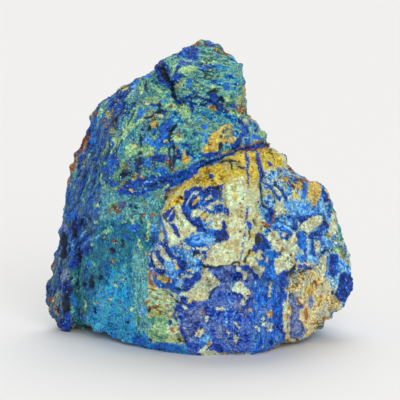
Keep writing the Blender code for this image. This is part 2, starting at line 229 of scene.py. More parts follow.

# Front view shapes of the veins, clay ribbons and stains: name, then mineral, width and points.
# Marks named shade, and the dark marks in the cavity, slot, hollow, cracks, gullies and under ledges, are
# painted shade laid in a mineral's colour; marks named glint are painted highlights.
# Points are front view steps, across then down. A width of 0 is a filled outline, any other is
# a line of that width, and a line of one point is a round spot.
MARKS = {
    # Left edge and shoulder
    "grey shoulder rim": "olive 0 118,90 122,86 127,83 128,88 124,89 120,90",
    "olive shoulder rim": "olive 0 112,94 116,90 120,88 126,87 122,91 118,93 114,94",
    "navy shoulder rim": "navy 0 100,103 104,99 108,97 110,98 108,102 104,104 102,107 100,107",
    "slate shoulder rim": "dark 0 91,110 98,107 100,110 92,113",
    "bright shoulder chip": "blue 0 131,86 135,81 138,80 140,83 137,84 134,86 132,87",
    "brown shoulder tip": "rust 0 137,80 139,77 142,78 140,81",
    "shoulder powder": "sky 0 132,88 136,85 137,88 134,94 131,97",
    "shoulder green lens": "green 0 140,88 143,86 145,89 144,94 142,95 140,92",
    "turquoise lobe": "teal 0 150,84 153,80 158,83 160,88 157,92 154,95 151,92 149,88",
    "shoulder slit": "dark 1.4 147,84 147,92",
    "ochre splinter": "ochre 0 120,94 126,90 129,89 127,91 122,94",
    "ochre splinter low": "ochre 0 113,103 117,101 120,100 118,102 115,103",
    "blue splinter": "blue 0 121,94 126,91 128,92 125,95 122,96",
    "navy splinter": "navy 0 118,97 124,96 128,98 126,100 120,101 117,99",
    "blue splinter low": "blue 0 120,100 128,99 128,103 120,103",
    "shoulder pool": "navy 0 112,103 120,103 122,108 120,112 114,110 111,106",
    "upper green layer": "green 2.2 133,92 130,97 127,102 126,108",
    "main green layer": "green 4.5 138,108 136,114 135,119 131,124 127,129 125,134 124,139",
    "main green swell": "green 0 121,133 125,129 131,124 135,121 136,124 133,129 129,133 127,138"
    " 124,141",
    "ring in the green": "blue 1.6 125,136",
    "blue layer": "blue 3 142,112 140,117 137,121",
    "pale layer": "green 2.5 146,116 143,120 139,123 135,127",
    "olive leaf": "olive 0 106,113 110,112 112,116 111,120 108,120 106,117",
    "green thread": "green 2.2 107,104 104,108 102,111",
    "rust fleck": "rust 0 91,117 93,114 95,113 94,116 92,118",
    "shoulder wedge": "dark 0 114,122 116,119 118,119 118,124 117,128 115,128 114,125",
    "olive drop": "olive 0 112,130 115,128 117,132 116,136 113,136 111,133",
    "olive thread": "olive 1.8 109,129 108,133 107,136",
    "rust rim": "rust 0 88,134 88,144 85,146 84,151 81,151 81,146 83,140 86,136",
    "rust rim low": "rust 3.6 82,148 79,152 77,157 75,162 73,168 71,175 68,185",
    "blue edge streak": "blue 0 90,122 95,124 97,135 96,150 92,152 90,146",
    "powder edge streak": "sky 2.5 96,138 95,145 94,151",
    "blue edge chip": "blue 0 84,152 87,152 86,158 84,159 83,156",
    "olive edge thread": "olive 1.6 88,152 89,157 87,161 86,166 84,168",
    "teal edge chip": "teal 0 89,153 91,152 91,156 90,158",
    "slate edge streak": "teal 2.4 79,160 77,168 76,178",
    "grey left rim": "olive 2 68,190 67,200 66,208",
    "teal left rim": "teal 3 66,203 65,212 64,220",
    "green wedge": "green 0 105,153 107,150 109,146 110,143 110,148 109,152 106,155 104,155",
    "green wedge right": "green 0 119,143 122,141 121,146 119,149 116,152 114,152 116,148 118,145",
    "blue eye": "blue 0 114,143 117,142 118,146 116,148 113,147",
    "green sliver": "green 1.8 117,139 116,144",
    "green column": "green 0 119,172 121,168 122,163 121,159 124,160 126,164 127,168 126,172 122,173",
    "green column foot": "green 3.5 120,172 118,176 117,180 115,184",
    "blue column": "blue 0 110,181 114,178 117,180 118,184 114,186 110,185",
    "green foot": "green 0 104,187 106,184 108,184 109,188 106,190",
    "pale thread": "green 1.6 103,175 103,183",
    "tan chip": "olive 0 116,187 119,184 120,187 118,190",
    "dark pool": "dark 0 122,172 126,171 129,174 127,177 123,176",
    "ochre hook": "ochre 1.8 133,177 136,176 138,173",
    "olive shelf": "olive 0 121,179 126,178 129,178 127,182 122,183",
    "teal shelf": "teal 0 141,172 146,170 150,173 149,176 144,174",
    "soft green field": "green 0 130,148 134,150 140,148 142,152 138,155 132,156 128,158 126,155"
    " 128,151",
    "dark thread": "dark 2 142,136 142,142 143,150",
    "powder tile": "sky 0 143,139 146,137 151,137 152,142 149,144 144,144",
    "green shelf": "green 2.6 143,150 147,149 152,147 160,148 169,150",
    "olive shelf thread": "olive 1.8 160,165 168,165",
    "shelf shade": "dark 0 136,160 141,158 144,160 142,165 138,166",
    "shelf navy drop": "navy 3 137,165 139,171",
    "shelf navy tick": "navy 2.6 143,160 144,166",
    "shelf navy": "navy 0 155,157 168,155 169,160 156,161",
    "shelf blue chip": "blue 0 145,166 147,162 150,160 151,164 150,168 147,168",
    "shelf blue foot": "blue 0 152,169 158,168 165,168 168,170 168,174 164,175 160,171 154,171",
    "shelf green chip": "green 0 155,174 158,172 161,172 161,174 158,175",
    # Crown
    # The cavity, slot, hollow line and hollow pit are painted shade in the holes.
    "cavity wall": "navy 0 157,66 160,62 166,63 171,70 174,80 170,86 164,85 159,79",
    "cavity": "dark 0 161,66 164,66 166,69 168,72 169,76 171,79 170,82 167,83 164,81 162,77 161,72",
    "slot wall": "navy 0 175,75 178,74 182,75 183,78 181,80 179,83 177,84 175,82 174,78",
    "slot": "dark 0 172,80 175,82 176,85 175,88 175,92 177,95 178,99 176,102 174,101 172,97 170,92"
    " 170,87",
    "crown leaf": "green 0 174,68 177,66 178,70 177,73 174,74",
    "crown navy arc": "navy 2.5 178,73 179,69 182,66 186,65 191,66",
    "crown pale arc": "green 0 179,71 183,68 188,67 195,68 200,70 196,72 190,72 184,74 180,73",
    "crown top": "blue 0 178,54 184,49 190,48 197,49 200,53 199,60 194,63 189,61 184,58 180,57",
    "rust crest": "rust 0 192,46 199,42 201,44 195,47",
    "rust crest tip": "rust 2.2 204,40 210,40",
    "olive crest": "olive 2.4 211,41 214,43",
    "navy crest": "navy 0 200,48 204,45 208,44 215,43 218,46 214,48 206,48",
    "ochre crest": "ochre 1.8 204,47 209,47",
    "rust crest right": "rust 2.6 216,51 220,54",
    "crown line": "navy 1.8 196,66 204,67 208,68 216,71",
    "crown green field": "green 0 200,62 208,60 215,63 214,66 206,65 200,64",
    "crown blue chip": "blue 0 188,80 192,82 191,88 188,87",
    "crown powder": "sky 0 210,81 218,80 218,84 211,84",
    "crown green chip": "green 0 211,84 215,84 216,89 212,90",
    "hollow wall": "navy 0 207,94 214,92 219,94 217,99 209,99",
    "hollow line": "dark 3.2 207,94 210,91 216,90",
    "hollow pit": "dark 0 218,96 221,94 224,96 223,100 219,100",
    "crown crease": "navy 2.5 183,100 187,98 191,96 193,94 197,95",
    "crown crease down": "navy 2.8 190,96 192,100 192,106 192,112",
    "crown crease shade": "dark 3 196,97 200,98",
    "crown crease right": "navy 1.8 197,98 202,99 208,101 214,103 220,103",
    "crown navy foot": "navy 0 174,101 178,99 181,101 187,100 186,103 180,104 176,104",
    "crown olive patch": "olive 0 176,86 180,84 184,84 183,87 178,90 176,89",
    "crown shelf": "olive 0 152,101 160,100 160,104 152,105",
    "shoulder straw": "green 0 144,99 152,97 160,98 160,104 152,107 145,105",
    "shoulder blue layer": "blue 1.8 128,104 123,113 118,124",
    "shoulder blue layer low": "blue 2 118,148 113,158 109,170",
    "shoulder navy layer": "navy 1.8 135,104 130,112 124,120",
    "shoulder navy layer low": "navy 2 109,128 105,140 101,156",
    "shoulder teal layer": "teal 1.8 104,112 99,124 96,134",
    "shoulder teal layer mid": "teal 1.6 103,160 100,172 97,186",
    "shoulder teal layer low": "teal 1.6 92,176 88,190 86,204",
    "shoulder olive layer": "olive 1.4 118,104 113,112 109,120",
    "shoulder blue seat": "blue 0 112,158 118,156 120,164 117,172 112,176 108,170",
    "brow rim": "olive 1.5 93,111 99,103 106,98 113,94",
    "pale brow streak": "green 1.5 100,115 104,109 109,103",
    "straw shelf streak": "olive 1.8 146,103 152,102 159,103",
    "shoulder rust streak": "rust 1.5 114,118 116,124 117,129",
    "shoulder mint run": "green 2.4 119,140 116,147 113,152",
    "shoulder mint run left": "green 2.2 112,143 108,149 104,154",
    "shoulder mint field": "green 0 127,149 132,145 137,147 136,153 131,157 127,154",
    "shoulder olive seat": "olive 0 124,164 130,163 132,168 127,171 123,169",
    "shoulder dark seat": "dark 1.4 123,173 128,174 133,171",
    "shoulder dark comb": "dark 1.1 143,122 146,127 151,127 153,131",
    "middle tan shelf": "olive 0 147,114 156,112 164,114 163,119 156,121 149,120",
    "middle tan streak": "cream 1.4 150,117 156,116 162,117",
    "green ledge": "green 0 141,150 149,147 156,150 152,155 144,156",
    "green ledge right": "green 0 160,150 168,147 171,151 167,155 161,154",
    "middle navy pool": "navy 0 150,156 158,154 166,157 165,162 157,163 151,161",
    "middle dark pool heart": "dark 1.3 154,159 160,159",
    "middle rust foot": "rust 1.6 166,159 170,162 169,166",
    "shoulder dark line": "dark 0.9 137,112 133,118 128,126",
    "shoulder dark line left": "dark 0.9 127,104 122,112 118,121",
    "shoulder dark line low": "dark 0.9 124,141 120,149 117,157",
    "shoulder dark line right": "dark 0.9 147,134 145,139 142,143",
    "crown mint run": "green 2.6 153,85 158,90 164,97",
    "seam iron thread": "rust 1.3 214,161 224,156 234,152 246,149 256,148",
    "seam black thread": "dark 1.0 196,170 205,165 214,160",
    "crown brow": "navy 1.8 150,107 154,106 158,106 162,104",
    "crown drop": "dark 2.2 161,104 161,113",
    "crown blue rim": "blue 2.2 142,78 152,77",
    "crown blue right": "blue 0 224,83 229,83 229,90 224,90",
    "crown ochre rim": "ochre 0 240,86 243,86 244,94 243,98 241,96 241,90",
    "crown olive corner": "olive 0 235,98 239,96 242,98 242,104 241,108 238,108 235,103",
    "crown pale corner": "green 0 224,96 229,96 232,100 230,104 226,102",
    # Slope right of the crown
    "slope tan chip": "ochre 0 207,106 210,104 214,105 216,108 217,111 213,111 209,109",
    "slope line": "navy 1.8 216,104 219,105 223,106",
    "slope line low": "navy 2.2 216,108 219,109 222,111 225,112",
    "slope ochre line": "ochre 2.2 224,107 227,109 230,111",
    "slope teal chip": "teal 0 230,107 233,108 233,111 230,110",
    "slope rust": "rust 2.2 234,107 237,110 239,112",
    "slope rust right": "rust 2.4 240,107 242,111 243,114",
    "slope green patch": "green 0 231,112 236,112 240,113 240,115 236,116 232,115",
    "slope grey rim": "sky 2 242,105 244,108 245,111",
    "slope crack": "dark 2.2 243,113 246,116",
    "slope navy rim": "navy 0 246,112 248,113 250,116 249,117 247,115",
    "slope ochre patch": "ochre 2.6 246,117 249,119",
    "slope navy blade": "navy 0 236,118 239,119 241,122 243,125 246,128 245,129 241,126 238,124",
    "slope pale chip": "cream 0 241,121 244,120 245,123 243,125 241,123",
    "slope blue": "blue 0 240,127 244,128 247,131 248,135 246,137 242,137 240,133",
    "slope navy dot": "navy 0 245,126 248,127 248,130 246,130",
    "slope teal": "teal 0 248,127 251,124 254,125 255,128 253,131 251,133 249,132",
    "slope navy cup": "navy 0 256,128 258,127 257,131 256,134 254,135 252,133 254,131",
    "slope knob": "green 0 257,130 259,128 262,128 264,132 264,138 261,139 258,136 257,133",
    "slope blue base": "blue 0 249,137 253,136 258,138 261,140 256,141 250,140",
    "slope grey thread": "sky 2.2 246,136 243,139",
    "slope navy stroke": "navy 3.5 241,136 239,140 236,143 233,146",
    "slope blue foot": "blue 0 243,141 247,140 247,144 243,144",
    "slope ochre foot": "ochre 0 256,141 260,142 259,144 255,144",
    # Blue middle and its ochre patch
    "middle green": "green 0 178,106 186,105 192,110 191,119 184,120 179,114",
    "middle green left": "green 0 164,105 172,104 178,107 176,112 168,112",
    "middle line": "dark 2.2 145,118 152,117 158,114 161,110 160,105",
    "middle ochre lens": "ochre 0 152,122 157,121 159,124 156,128 153,129",
    "middle blue": "blue 0 160,127 165,124 170,119 173,118 174,124 171,128 170,133 168,138 166,142"
    " 168,147 164,148 158,149 153,147 152,142 156,141 160,138 160,132",
    "middle green chip": "green 0 152,136 157,136 157,141 153,141",
    # Painted shade in the gully.
    "middle gully": "dark 3 176,126 172,132 169,138 172,143 175,148 176,155",
    "middle green patch": "green 0 174,137 178,136 182,138 181,142 176,142",
    "middle brown": "rust 2.2 180,131 180,137",
    "middle ochre thread": "ochre 2.2 176,150 176,156",
    "middle crack": "dark 1.8 170,150 171,158 171,168",
    "middle crack right": "dark 1.8 175,156 175,165",
    "middle navy plug": "navy 0 177,150 180,151 180,160 177,160",
    "middle rust thread": "rust 1.8 174,160 173,170",
    "middle pale teal": "teal 0 182,129 188,128 192,133 191,144 185,146 182,138",
    "middle teal": "teal 0 191,140 198,138 205,140 204,150 197,155 191,152",
    "middle navy thread": "navy 2.2 183,145 188,147",
    "middle powder": "sky 2.6 206,135 205,139 204,143",
    "patch": "ochre 0 203,152 203,148 206,145 208,141 209,138 211,135 215,133 219,130 222,127 223,126"
    " 228,126 231,128 231,133 232,137 235,139 234,143 231,144 226,143 223,145 220,144 217,147 217,152"
    " 212,153 207,152",
    "patch grey side": "olive 0 224,128 229,127 231,130 231,135 229,139 225,140 224,134",
    "patch navy dot": "navy 0 222,133 223,131 224,134 222,135",
    "patch dark dot": "dark 0 221,136 223,137 223,139 221,139",
    "patch shade": "dark 0 218,145 221,143 223,146 222,150 218,150",
    "patch pale rim": "cream 0 228,139 232,137 236,138 235,141 230,142",
    "ochre wedge": "ochre 0 182,162 183,155 184,152 187,152 189,156 190,160 188,163 185,164",
    # Seam and the navy lens under the shoulder
    "seam shade": "dark 1.4 176,177 186,174 192,170 196,165 204,160",
    "seam blue": "blue 0 186,172 192,168 200,162 210,159 218,157 228,153 233,150 238,150 232,156"
    " 226,159 218,162 208,164 200,166 190,174 182,180 176,182 172,178 182,175",
    "seam powder light": "sky 1.4 204,160 212,157 220,154 228,151",
    "seam upper thread": "navy 2.4 202,155 212,153 220,152",
    "seam straw": "ochre 1.2 214,155 222,152 231,149",
    "seam lower shade": "dark 1.4 206,163 214,160 222,158 228,155",
    "seam navy": "navy 0 234,149 244,146 252,145 262,143 266,146 264,149 250,148 240,150 234,153",
    "seam brown thread": "rust 1.6 236,148 246,145 262,142",
    "seam brown thread low": "rust 1.8 234,153 240,150 250,149 258,149 268,151",
    "seam glint": "blue 2.2 255,146 262,146",
    "seam rust end": "rust 0 263,142 268,141 271,147 270,152 265,151",
    "seam dark end": "dark 1.8 262,143 266,148 270,151",
    "lens glint": "blue 0 128,180 134,178 139,176 143,178 140,181 134,182 129,183",
    "lens blue": "blue 0 133,185 140,184 140,187 134,187",
    "lens light": "sky 1.6 146,182 152,180 158,178",
    "lens light low": "sky 1.6 138,190 146,188",
    "lens dark": "dark 1.4 150,186 158,183 164,180",
    "lens green chip": "green 0 138,186 142,186 145,186 143,188 139,188",
    "lens ochre chip": "ochre 0 130,188 133,188 136,190 133,192 131,190",
    "lens lip": "green 0 162,189 164,186 167,183 169,181 170,184 167,187 165,192 163,197 162,204"
    " 160,204",
    "lens lip powder": "sky 0 165,188 168,188 168,196 164,196",
    "red vein": "rust 2.6 170,191 168,196 167,200",
    # Turquoise face
    "face glint": "blue 0 144,195 150,194 152,197 148,199 144,199",
    "face orange thread": "rust 1.8 142,218 144,216 146,215",
    "face brown chip": "rust 0 152,214 155,212 157,215 154,217",
    "face green streak": "green 2.4 133,216 133,226",
    "face green streak mid": "green 3 140,240 142,246 143,249",
    "face green band": "green 3 150,222 150,232 149,240",
    "face blue pool": "blue 0 130,226 136,224 142,226 140,231 134,232",
    "face powder": "sky 0 152,224 160,224 160,232 152,232",
    "face blue low": "blue 0 153,234 160,233 160,240 154,239",
    "face navy chip": "navy 0 126,234 129,235 129,239 127,239",
    "face slit": "dark 1.8 123,240 123,247",
    "face brown thread": "rust 2.4 115,240 117,243",
    "face dark pit": "dark 0 112,249 116,248 117,252 114,254 112,253",
    "face tan chip": "rust 0 112,259 115,260 115,262 113,263",
    "face green chip": "green 0 104,232 107,229 110,231 108,234 105,235",
    "face rust patch": "rust 0 113,209 118,207 121,210 122,213 118,213 115,211",
    "face olive thread": "olive 1.8 112,208 117,206 119,206",
    "face violet patch": "dusty 0 119,203 122,200 127,203 128,207 124,210 121,208",
    "face pale ring": "green 1.8 112,204 115,202 118,202 116,204 119,206 115,206",
    "face rust thread": "rust 1.4 111,211 111,214",
    "face blue specks": "blue 2.4 122,217 122,220",
    "face green specks": "green 2.4 126,221 126,222",
    "face teal left": "teal 0 108,226 113,225 114,231 110,233",
    "face dark patch": "dark 0 91,278 94,279 96,283 95,288 91,287",
    "face slit low": "dark 1.8 96,308 97,312",
    "face ochre chip": "ochre 2 111,298 112,299",
    "face pale thread": "sky 1.8 103,302 102,309",
    "face pale streak": "green 2.5 138,313 139,319",
    "face powder low": "sky 0 140,310 145,308 148,312 145,315 141,312",
    "face bottom blue": "blue 0 113,333 116,331 119,334 118,337 115,338",
    "face bottom powder": "sky 0 120,337 124,338 128,338 128,340 121,340",
    "face bottom right": "blue 0 132,336 140,336 150,338 150,344 138,344",
    "face tan foot": "ochre 0 146,300 149,299 152,301 151,304 148,303",
    # Dark bottom left
    "black blot": "dark 0 80,224 82,221 83,218 85,222 84,224 81,225",
    "navy blot": "navy 0 73,226 78,224 80,228 79,231 74,230 72,229",
    "slate blot": "dusty 0 64,225 71,225 71,229 64,230",
    "black blot low": "dark 0 74,233 76,232 77,235 78,238 76,239 74,236",
    "black spine": "dark 0 65,232 68,232 69,238 70,244 69,247 66,248 63,246 62,242 64,238",
    "navy spine": "navy 0 58,248 61,246 61,250 60,255 58,256 57,252",
    "dark spine": "dark 0 62,249 66,248 69,251 69,256 68,259 64,259 61,257 62,254",
    "dark spine shade": "dark 2.4 65,250 64,258",
    "powder rib": "sky 2.4 79,238 75,241 72,246",
    "powder rib upper": "sky 1.6 96,222 88,228 82,236",
    "powder rib mid": "sky 1.6 100,236 90,240 82,248 78,256",
    "rib shade": "navy 2 98,230 88,236 80,243",
    "rib shade low": "navy 2.4 94,246 86,252 80,262",
    "blue rib": "blue 2.2 80,246 76,251 72,256",
    "dark left shade": "dark 0 77,254 80,250 83,254 83,258 79,260 75,259",
    "navy shelf": "navy 0 88,245 90,248 85,256 79,264 73,270 69,267 74,259 80,252",
    "left green fleck": "green 2 87,226 86,233",
    "left teal chip": "teal 0 94,262 97,263 97,267 95,267",
    "left rust thread": "rust 1.4 55,264 55,268",
    "left rust chip": "rust 0 51,298 54,297 55,301 53,303",
    "left rust thread low": "rust 1.8 56,304 57,308",
    "left blue corner": "blue 0 45,302 48,303 48,307 46,306",
    "navy ridge top": "navy 2.6 63,270 62,278 62,286",
    "navy ridge": "navy 0 64,284 69,280 70,288 71,294 71,303 70,312 71,318 66,320 64,318 64,310 65,300",
    "black ridge": "dark 0 65,296 69,294 70,308 69,312 66,313 64,309",
    "navy foot": "navy 0 59,320 64,318 70,318 72,322 71,328 66,330 60,329 58,325",
    "blue ridge side": "blue 2.4 72,296 74,300 76,304",
    "lilac thread": "dusty 1.4 68,272 67,277 69,280",
    "left teal patch": "teal 0 73,276 77,274 78,279 74,284 72,283",
    "left teal ring": "teal 1.6 71,305 71,312 74,310 71,305",
    "left navy thread": "navy 2 78,308 80,315",
    "left green thread": "green 2 87,300 87,308",
    "bottom olive rim": "olive 0 72,325 80,324 90,323 90,327 80,328 72,330",
    # Clay swirl
    "swirl pocket": "navy 0 175,206 176,213 176,220 172,222 169,222 166,218 163,215 167,212 170,209",
    "swirl pocket shade": "dark 2 164,216 168,221",
    "pocket straw": "cream 1.4 168,218 172,213 174,209",
    "swirl tongue": "cream 0 176,206 179,203 181,207 183,212 187,218 191,223 195,227 197,230 195,234"
    " 190,237 186,239 183,236 180,232 177,228 175,224 174,220 175,214",
    "tongue shade": "olive 3 176,211 177,217 180,221 183,225",
    "swirl left clay": "cream 0 167,222 170,222 172,228 175,233 179,237 183,240 184,242 178,243 173,245"
    " 170,244 169,238 168,232 166,225",
    "swirl ribbon": "navy 0 170,222 174,223 176,226 179,230 181,235 181,237 179,236 176,233 173,229",
    "swirl left line": "blue 2 162,217 164,226 165,233 168,241",
    "swirl main": "navy 0 190,191 186,195 184,199 182,204 181,208 183,213 186,217 189,221 192,225"
    " 196,228 198,231 199,233 203,231 206,235 208,236 207,231 205,228 204,225 203,221 202,217 199,217"
    " 197,218 194,221 191,220 190,216 190,211 192,209 197,208 199,205 200,201",
    "swirl heart": "blue 0 185,205 188,202 190,206 191,212 190,216 187,213",
    "swirl arc": "navy 3 186,194 190,191 195,189 200,188 203,192 206,193",
    "swirl clay chip": "cream 2.6 187,203 190,198 193,194",
    "swirl ochre chip": "ochre 0 192,204 194,199 197,195 200,196 200,200 197,204 194,206",
    "swirl rust spot": "rust 2.4 196,197",
    "swirl straw line": "navy 1.4 192,200 195,195",
    "swirl field": "blue 0 200,190 207,191 214,188 221,187 223,192 221,198 213,200 206,207 201,205",
    "swirl field navy": "navy 0 204,189 213,187 222,186 223,199 216,197 211,193 205,193",
    "swirl deep": "dark 2.6 218,188 221,191 221,196",
    "small tongue": "cream 0 205,199 206,197 210,195 213,194 214,196 211,198 208,200 206,201",
    "small blue": "blue 0 211,198 217,197 217,203 212,203",
    "thin ribbon": "cream 0 212,204 216,201 220,200 224,202 224,204 219,203 215,205 213,206",
    "navy under ribbon": "navy 0 214,206 224,204 224,209 216,210",
    "thin clay thread": "cream 1.6 207,206 214,209",
    "swirl crescent": "blue 0 204,210 208,209 213,210 219,208 224,207 224,210 219,212 214,213 209,212",
    "heart clay": "cream 0 192,212 196,209 200,208 204,211 209,213 215,214 224,212 225,225 210,220"
    " 203,217 197,217 191,217",
    "heart ochre": "ochre 0 202,213 206,213 206,219 203,219",
    "powder in the swirl": "sky 0 192,233 199,232 206,234 207,242 200,243 193,241",
    "powder right": "sky 0 207,223 213,222 215,230 214,244 208,244 207,234",
    "heart flake": "cream 0 212,223 218,221 222,225 221,231 217,229 213,227",
    "swirl hook": "navy 0 216,232 220,230 223,231 223,222 225,221 227,227 226,231 228,234 229,238"
    " 226,241 220,241 216,239",
    "hook shade": "dark 1.8 215,241 224,239",
    "lower strap": "blue 0 186,240 188,238 191,240 193,243 200,244 207,243 208,246 204,247 196,246"
    " 190,245",
    "swirl low powder": "sky 0 177,248 184,248 190,252 193,258 200,257 208,256 207,262 203,268 197,271"
    " 191,270 187,263 179,258",
    "low powder clay": "cream 1.8 198,256 202,259 206,262",
    "low powder clay left": "cream 2 188,270 193,271",
    # Painted shade in the strap's hollow.
    "strap shade": "dark 0 192,251 200,250 200,254 193,256",
    "strap navy": "navy 0 202,250 208,250 208,254 203,254",
    "strap clay": "cream 2.6 184,246 190,247",
    "strap clay right": "cream 2.6 200,249 207,250",
    "slab foot": "cream 0 212,247 218,243 225,241 244,236 244,262 233,262 230,264 222,266 215,267"
    " 205,264 208,254",
    # Loops left of the swirl
    "loop outer": "navy 0 164,238 166,239 168,245 170,250 173,253 177,256 180,258 181,260 178,260"
    " 173,258 169,255 166,250 164,245",
    "loop tab": "cream 0 161,248 164,246 165,250 168,255 167,257 163,257 161,253",
    "loop second": "navy 0 157,249 159,250 161,254 163,257 165,260 166,264 164,265 161,262 159,258",
    "loop clay": "cream 0 154,252 157,251 158,256 159,262 161,266 160,268 157,266 155,262 154,257",
    "loop third": "navy 0 152,254 154,254 155,261 157,265 160,268 163,270 167,271 168,274 163,274"
    " 158,272 155,269 153,264 152,259",
    "loop powder": "sky 0 165,259 172,258 180,262 181,272 176,280 170,277 166,270 164,264",
    "loop pale thread": "cream 2.6 166,258 176,260",
    "loop ochre": "ochre 0 176,262 180,264 180,270 177,269",
    "loop wedge": "navy 0 178,262 182,260 186,261 188,264 186,268 185,272 183,271 181,267 179,265",
    "loop bottom": "blue 0 153,272 155,274 156,278 159,281 163,282 168,283 172,284 175,283 176,286"
    " 171,287 166,286 161,284 157,284 155,281 153,277",
    "loop bottom ochre": "ochre 0 159,275 164,274 169,278 173,280 173,283 168,283 163,281 158,279",
    "loop orange chip": "rust 2.2 155,271 156,276",
    "loop left rust": "rust 0 149,268 151,268 152,273 152,278 154,283 156,286 154,287 151,283 150,277",
    "loop powder low": "sky 0 176,281 184,281 184,284 176,284",
    "loop tail": "navy 0 184,280 186,278 191,279 194,276 196,272 200,270 201,274 200,279 195,281"
    " 193,284 191,288 186,290 184,288",
    "loop tail blue": "blue 0 172,287 178,287 183,288 183,291 178,293 173,291",
    "loop tail shade": "dark 1.6 176,288 184,288",
    "lobe": "cream 0 202,268 205,267 208,268 210,272 214,275 218,278 220,281 219,285 216,288 213,291"
    " 210,290 210,294 208,299 204,300 199,300 194,299 190,298 186,296 184,293 187,289 191,286 193,282"
    " 197,280 200,279 202,275",
    "lobe shade": "dark 1.8 216,288 212,293 209,298",
    "thread by the lobe": "navy 1.8 170,292 176,300",
    "clay by the thread": "cream 0 173,291 178,293 178,299 174,298",
    "tooth clay": "cream 0 181,292 184,290 185,294 183,297 181,295",
    "tooth navy": "navy 0 184,294 187,297 188,301 187,304 182,305 180,301 182,298",
    "tooth dark": "dark 0 175,300 179,300 183,303 180,304 176,302",
    "tooth ochre": "ochre 0 188,299 191,299 192,303 189,304",
    "tooth clay low": "cream 0 182,304 185,304 189,309 186,309 183,306",
    "tooth navy low": "navy 0 178,304 182,306 184,310 180,311 176,309",
    "tick": "navy 1.8 174,308 176,312",
    "tick low": "navy 1.8 174,314 177,320",
    "tick right": "navy 1.8 178,313 182,322",
    # Green clay below the loops
    "green clay": "green 0 150,315 160,316 174,318 175,324 168,336 160,340 150,335",
    "green clay teal": "teal 0 146,317 156,316 157,324 147,325",
    "foot clay": "cream 0 168,325 172,324 177,326 181,324 184,328 181,331 177,333 173,336 170,333",
    "foot clay iron": "rust 1.8 171,327 174,331",
    "foot clay iron right": "rust 1.8 179,327 180,330",
    "foot navy": "navy 3 181,327 184,334 187,341 191,347",
    "foot olive": "olive 0 177,332 180,331 183,336 186,341 187,345 184,343 180,338",
    "foot crack": "dark 1.6 177,334 181,341",
    "bottom blue rim": "blue 0 150,344 160,341 172,342 185,347 184,351 170,350 152,348",
    "heel clay": "cream 0 200,327 205,328 206,330 203,333 201,336 196,335 197,331",
    "heel powder": "sky 0 203,334 207,333 210,336 208,341 205,345 200,347 198,344 202,339",
    "heel thread": "cream 2.5 210,339 209,344 205,347 202,350",
    "bottom clay rim": "cream 0 198,351 205,350 212,350 218,352 228,353 240,354 250,352 250,355 240,357"
    " 226,356 208,355 202,354",
    "bottom olive hem": "olive 1.8 202,355 214,356 226,356 238,357",
    "bottom ochre hem": "ochre 1.8 222,353 230,354",
    "heel navy": "navy 0 216,345 220,344 223,348 222,352 218,352 216,349",
    "heel chip": "cream 2 206,320 207,317",
    "heel flake": "cream 0 216,306 222,306 225,308 224,311 219,309 215,308",
    # Clay slab and its crest
    "slab body": "cream 0 224,190 228,184 234,180 244,177 247,200 245,236 244,262 233,262 229,244"
    " 229,224 226,200",
    "slab tan streak": "ochre 2.4 235,184 234,192 235,200",
    "slab olive edge": "olive 2.4 223,180 225,190 226,202 227,212",
    "slab notch": "navy 0 210,176 214,176 214,179 212,181 210,179",
    "slab notch shade": "dark 1.6 212,181 215,184",
    "slab crack halo": "olive 5 224,164 231,163 238,167 243,170",
    "slab crack": "dark 2.4 220,164 225,162 231,161 236,163",
    "slab crack down": "dark 1.5 231,163 232,170",
    "slab crack right": "dark 1.7 236,166 240,168 243,169",
    "slab line": "navy 0 246,151 248,152 247,156 249,159 249,163 248,168 249,175 248,180 249,186"
    " 248,188 247,183 247,175 246,168 246,162 245,158 245,154",
    "slab line right": "navy 0 256,151 258,152 259,158 260,163 260,168 262,173 262,181 260,182 257,177"
    " 256,170 256,165 255,158",
    "slab line shade": "dark 2 260,183 260,190 261,198",
    "right rust rim": "rust 2 286,164 287,169 291,174",
    "slab hairline": "blue 1.6 248,208 247,212 246,218 245,224 245,232 244,240 243,248 242,254 241,260",
    "slab navy chip": "navy 0 224,207 229,208 230,211 229,217 227,216 226,211",
    "crest navy": "navy 0 247,220 250,223 252,228 251,230 249,229 247,225",
    "crest crack": "dark 1.6 249,230 249,240",
    "crest crack low": "dark 2.2 249,250 247,255 244,261",
    "crest crack top": "dark 1.6 252,219 254,225",
    # Painted shadow under the slab's ledge.
    "slab ledge shadow": "dark 1.8 203,265 215,268 222,266 230,264 233,262 240,262",
    "ledge navy": "navy 0 232,264 240,264 241,268 233,268",
    "ledge flake": "cream 0 236,264 240,266 244,270 246,276 243,280 241,275 238,271 236,269",
    "ledge navy right": "navy 0 242,265 250,265 250,271 244,270",
    # Powder blue field right of the slab
    "field thread": "navy 2.2 262,182 265,184 269,187 272,192 275,197 278,200",
    "field thread right": "navy 2.2 273,183 277,187 280,191 283,197 285,200",
    "field clay": "cream 0 272,187 276,188 279,192 279,196 276,194 273,190",
    "field olive left": "olive 0 261,191 266,190 271,194 273,199 270,200 266,197 262,197",
    "field blue spot": "blue 3.6 268,198",
    "field shelf": "cream 1.8 261,199 264,204 268,207",
    "field ochre": "ochre 0 290,192 293,192 295,199",
    # Painted shade in the gully beside the slab's crest.
    "gully": "dark 2.4 261,200 262,204 265,207 269,209",
    "gully navy": "navy 0 265,207 271,208 272,214 270,216 267,211",
    "field clay low": "cream 0 272,199 276,201 280,205 284,211 283,216 276,216 273,209",
    "notch olive": "olive 0 257,225 262,226 262,234 257,236",
    "pocket navy": "navy 0 254,234 260,233 265,237 268,242 270,248 268,250 262,251 258,250 253,254"
    " 251,250 252,246 254,243",
    "pocket dark": "dark 0 254,235 259,235 262,238 261,242 258,245 254,244",
    "field chip": "blue 0 264,214 271,214 272,219 271,224 267,224 265,220",
    "field rust line": "rust 1.5 272,214 272,224",
    "field rust chip": "rust 0 261,221 266,223 271,226 271,229 264,227",
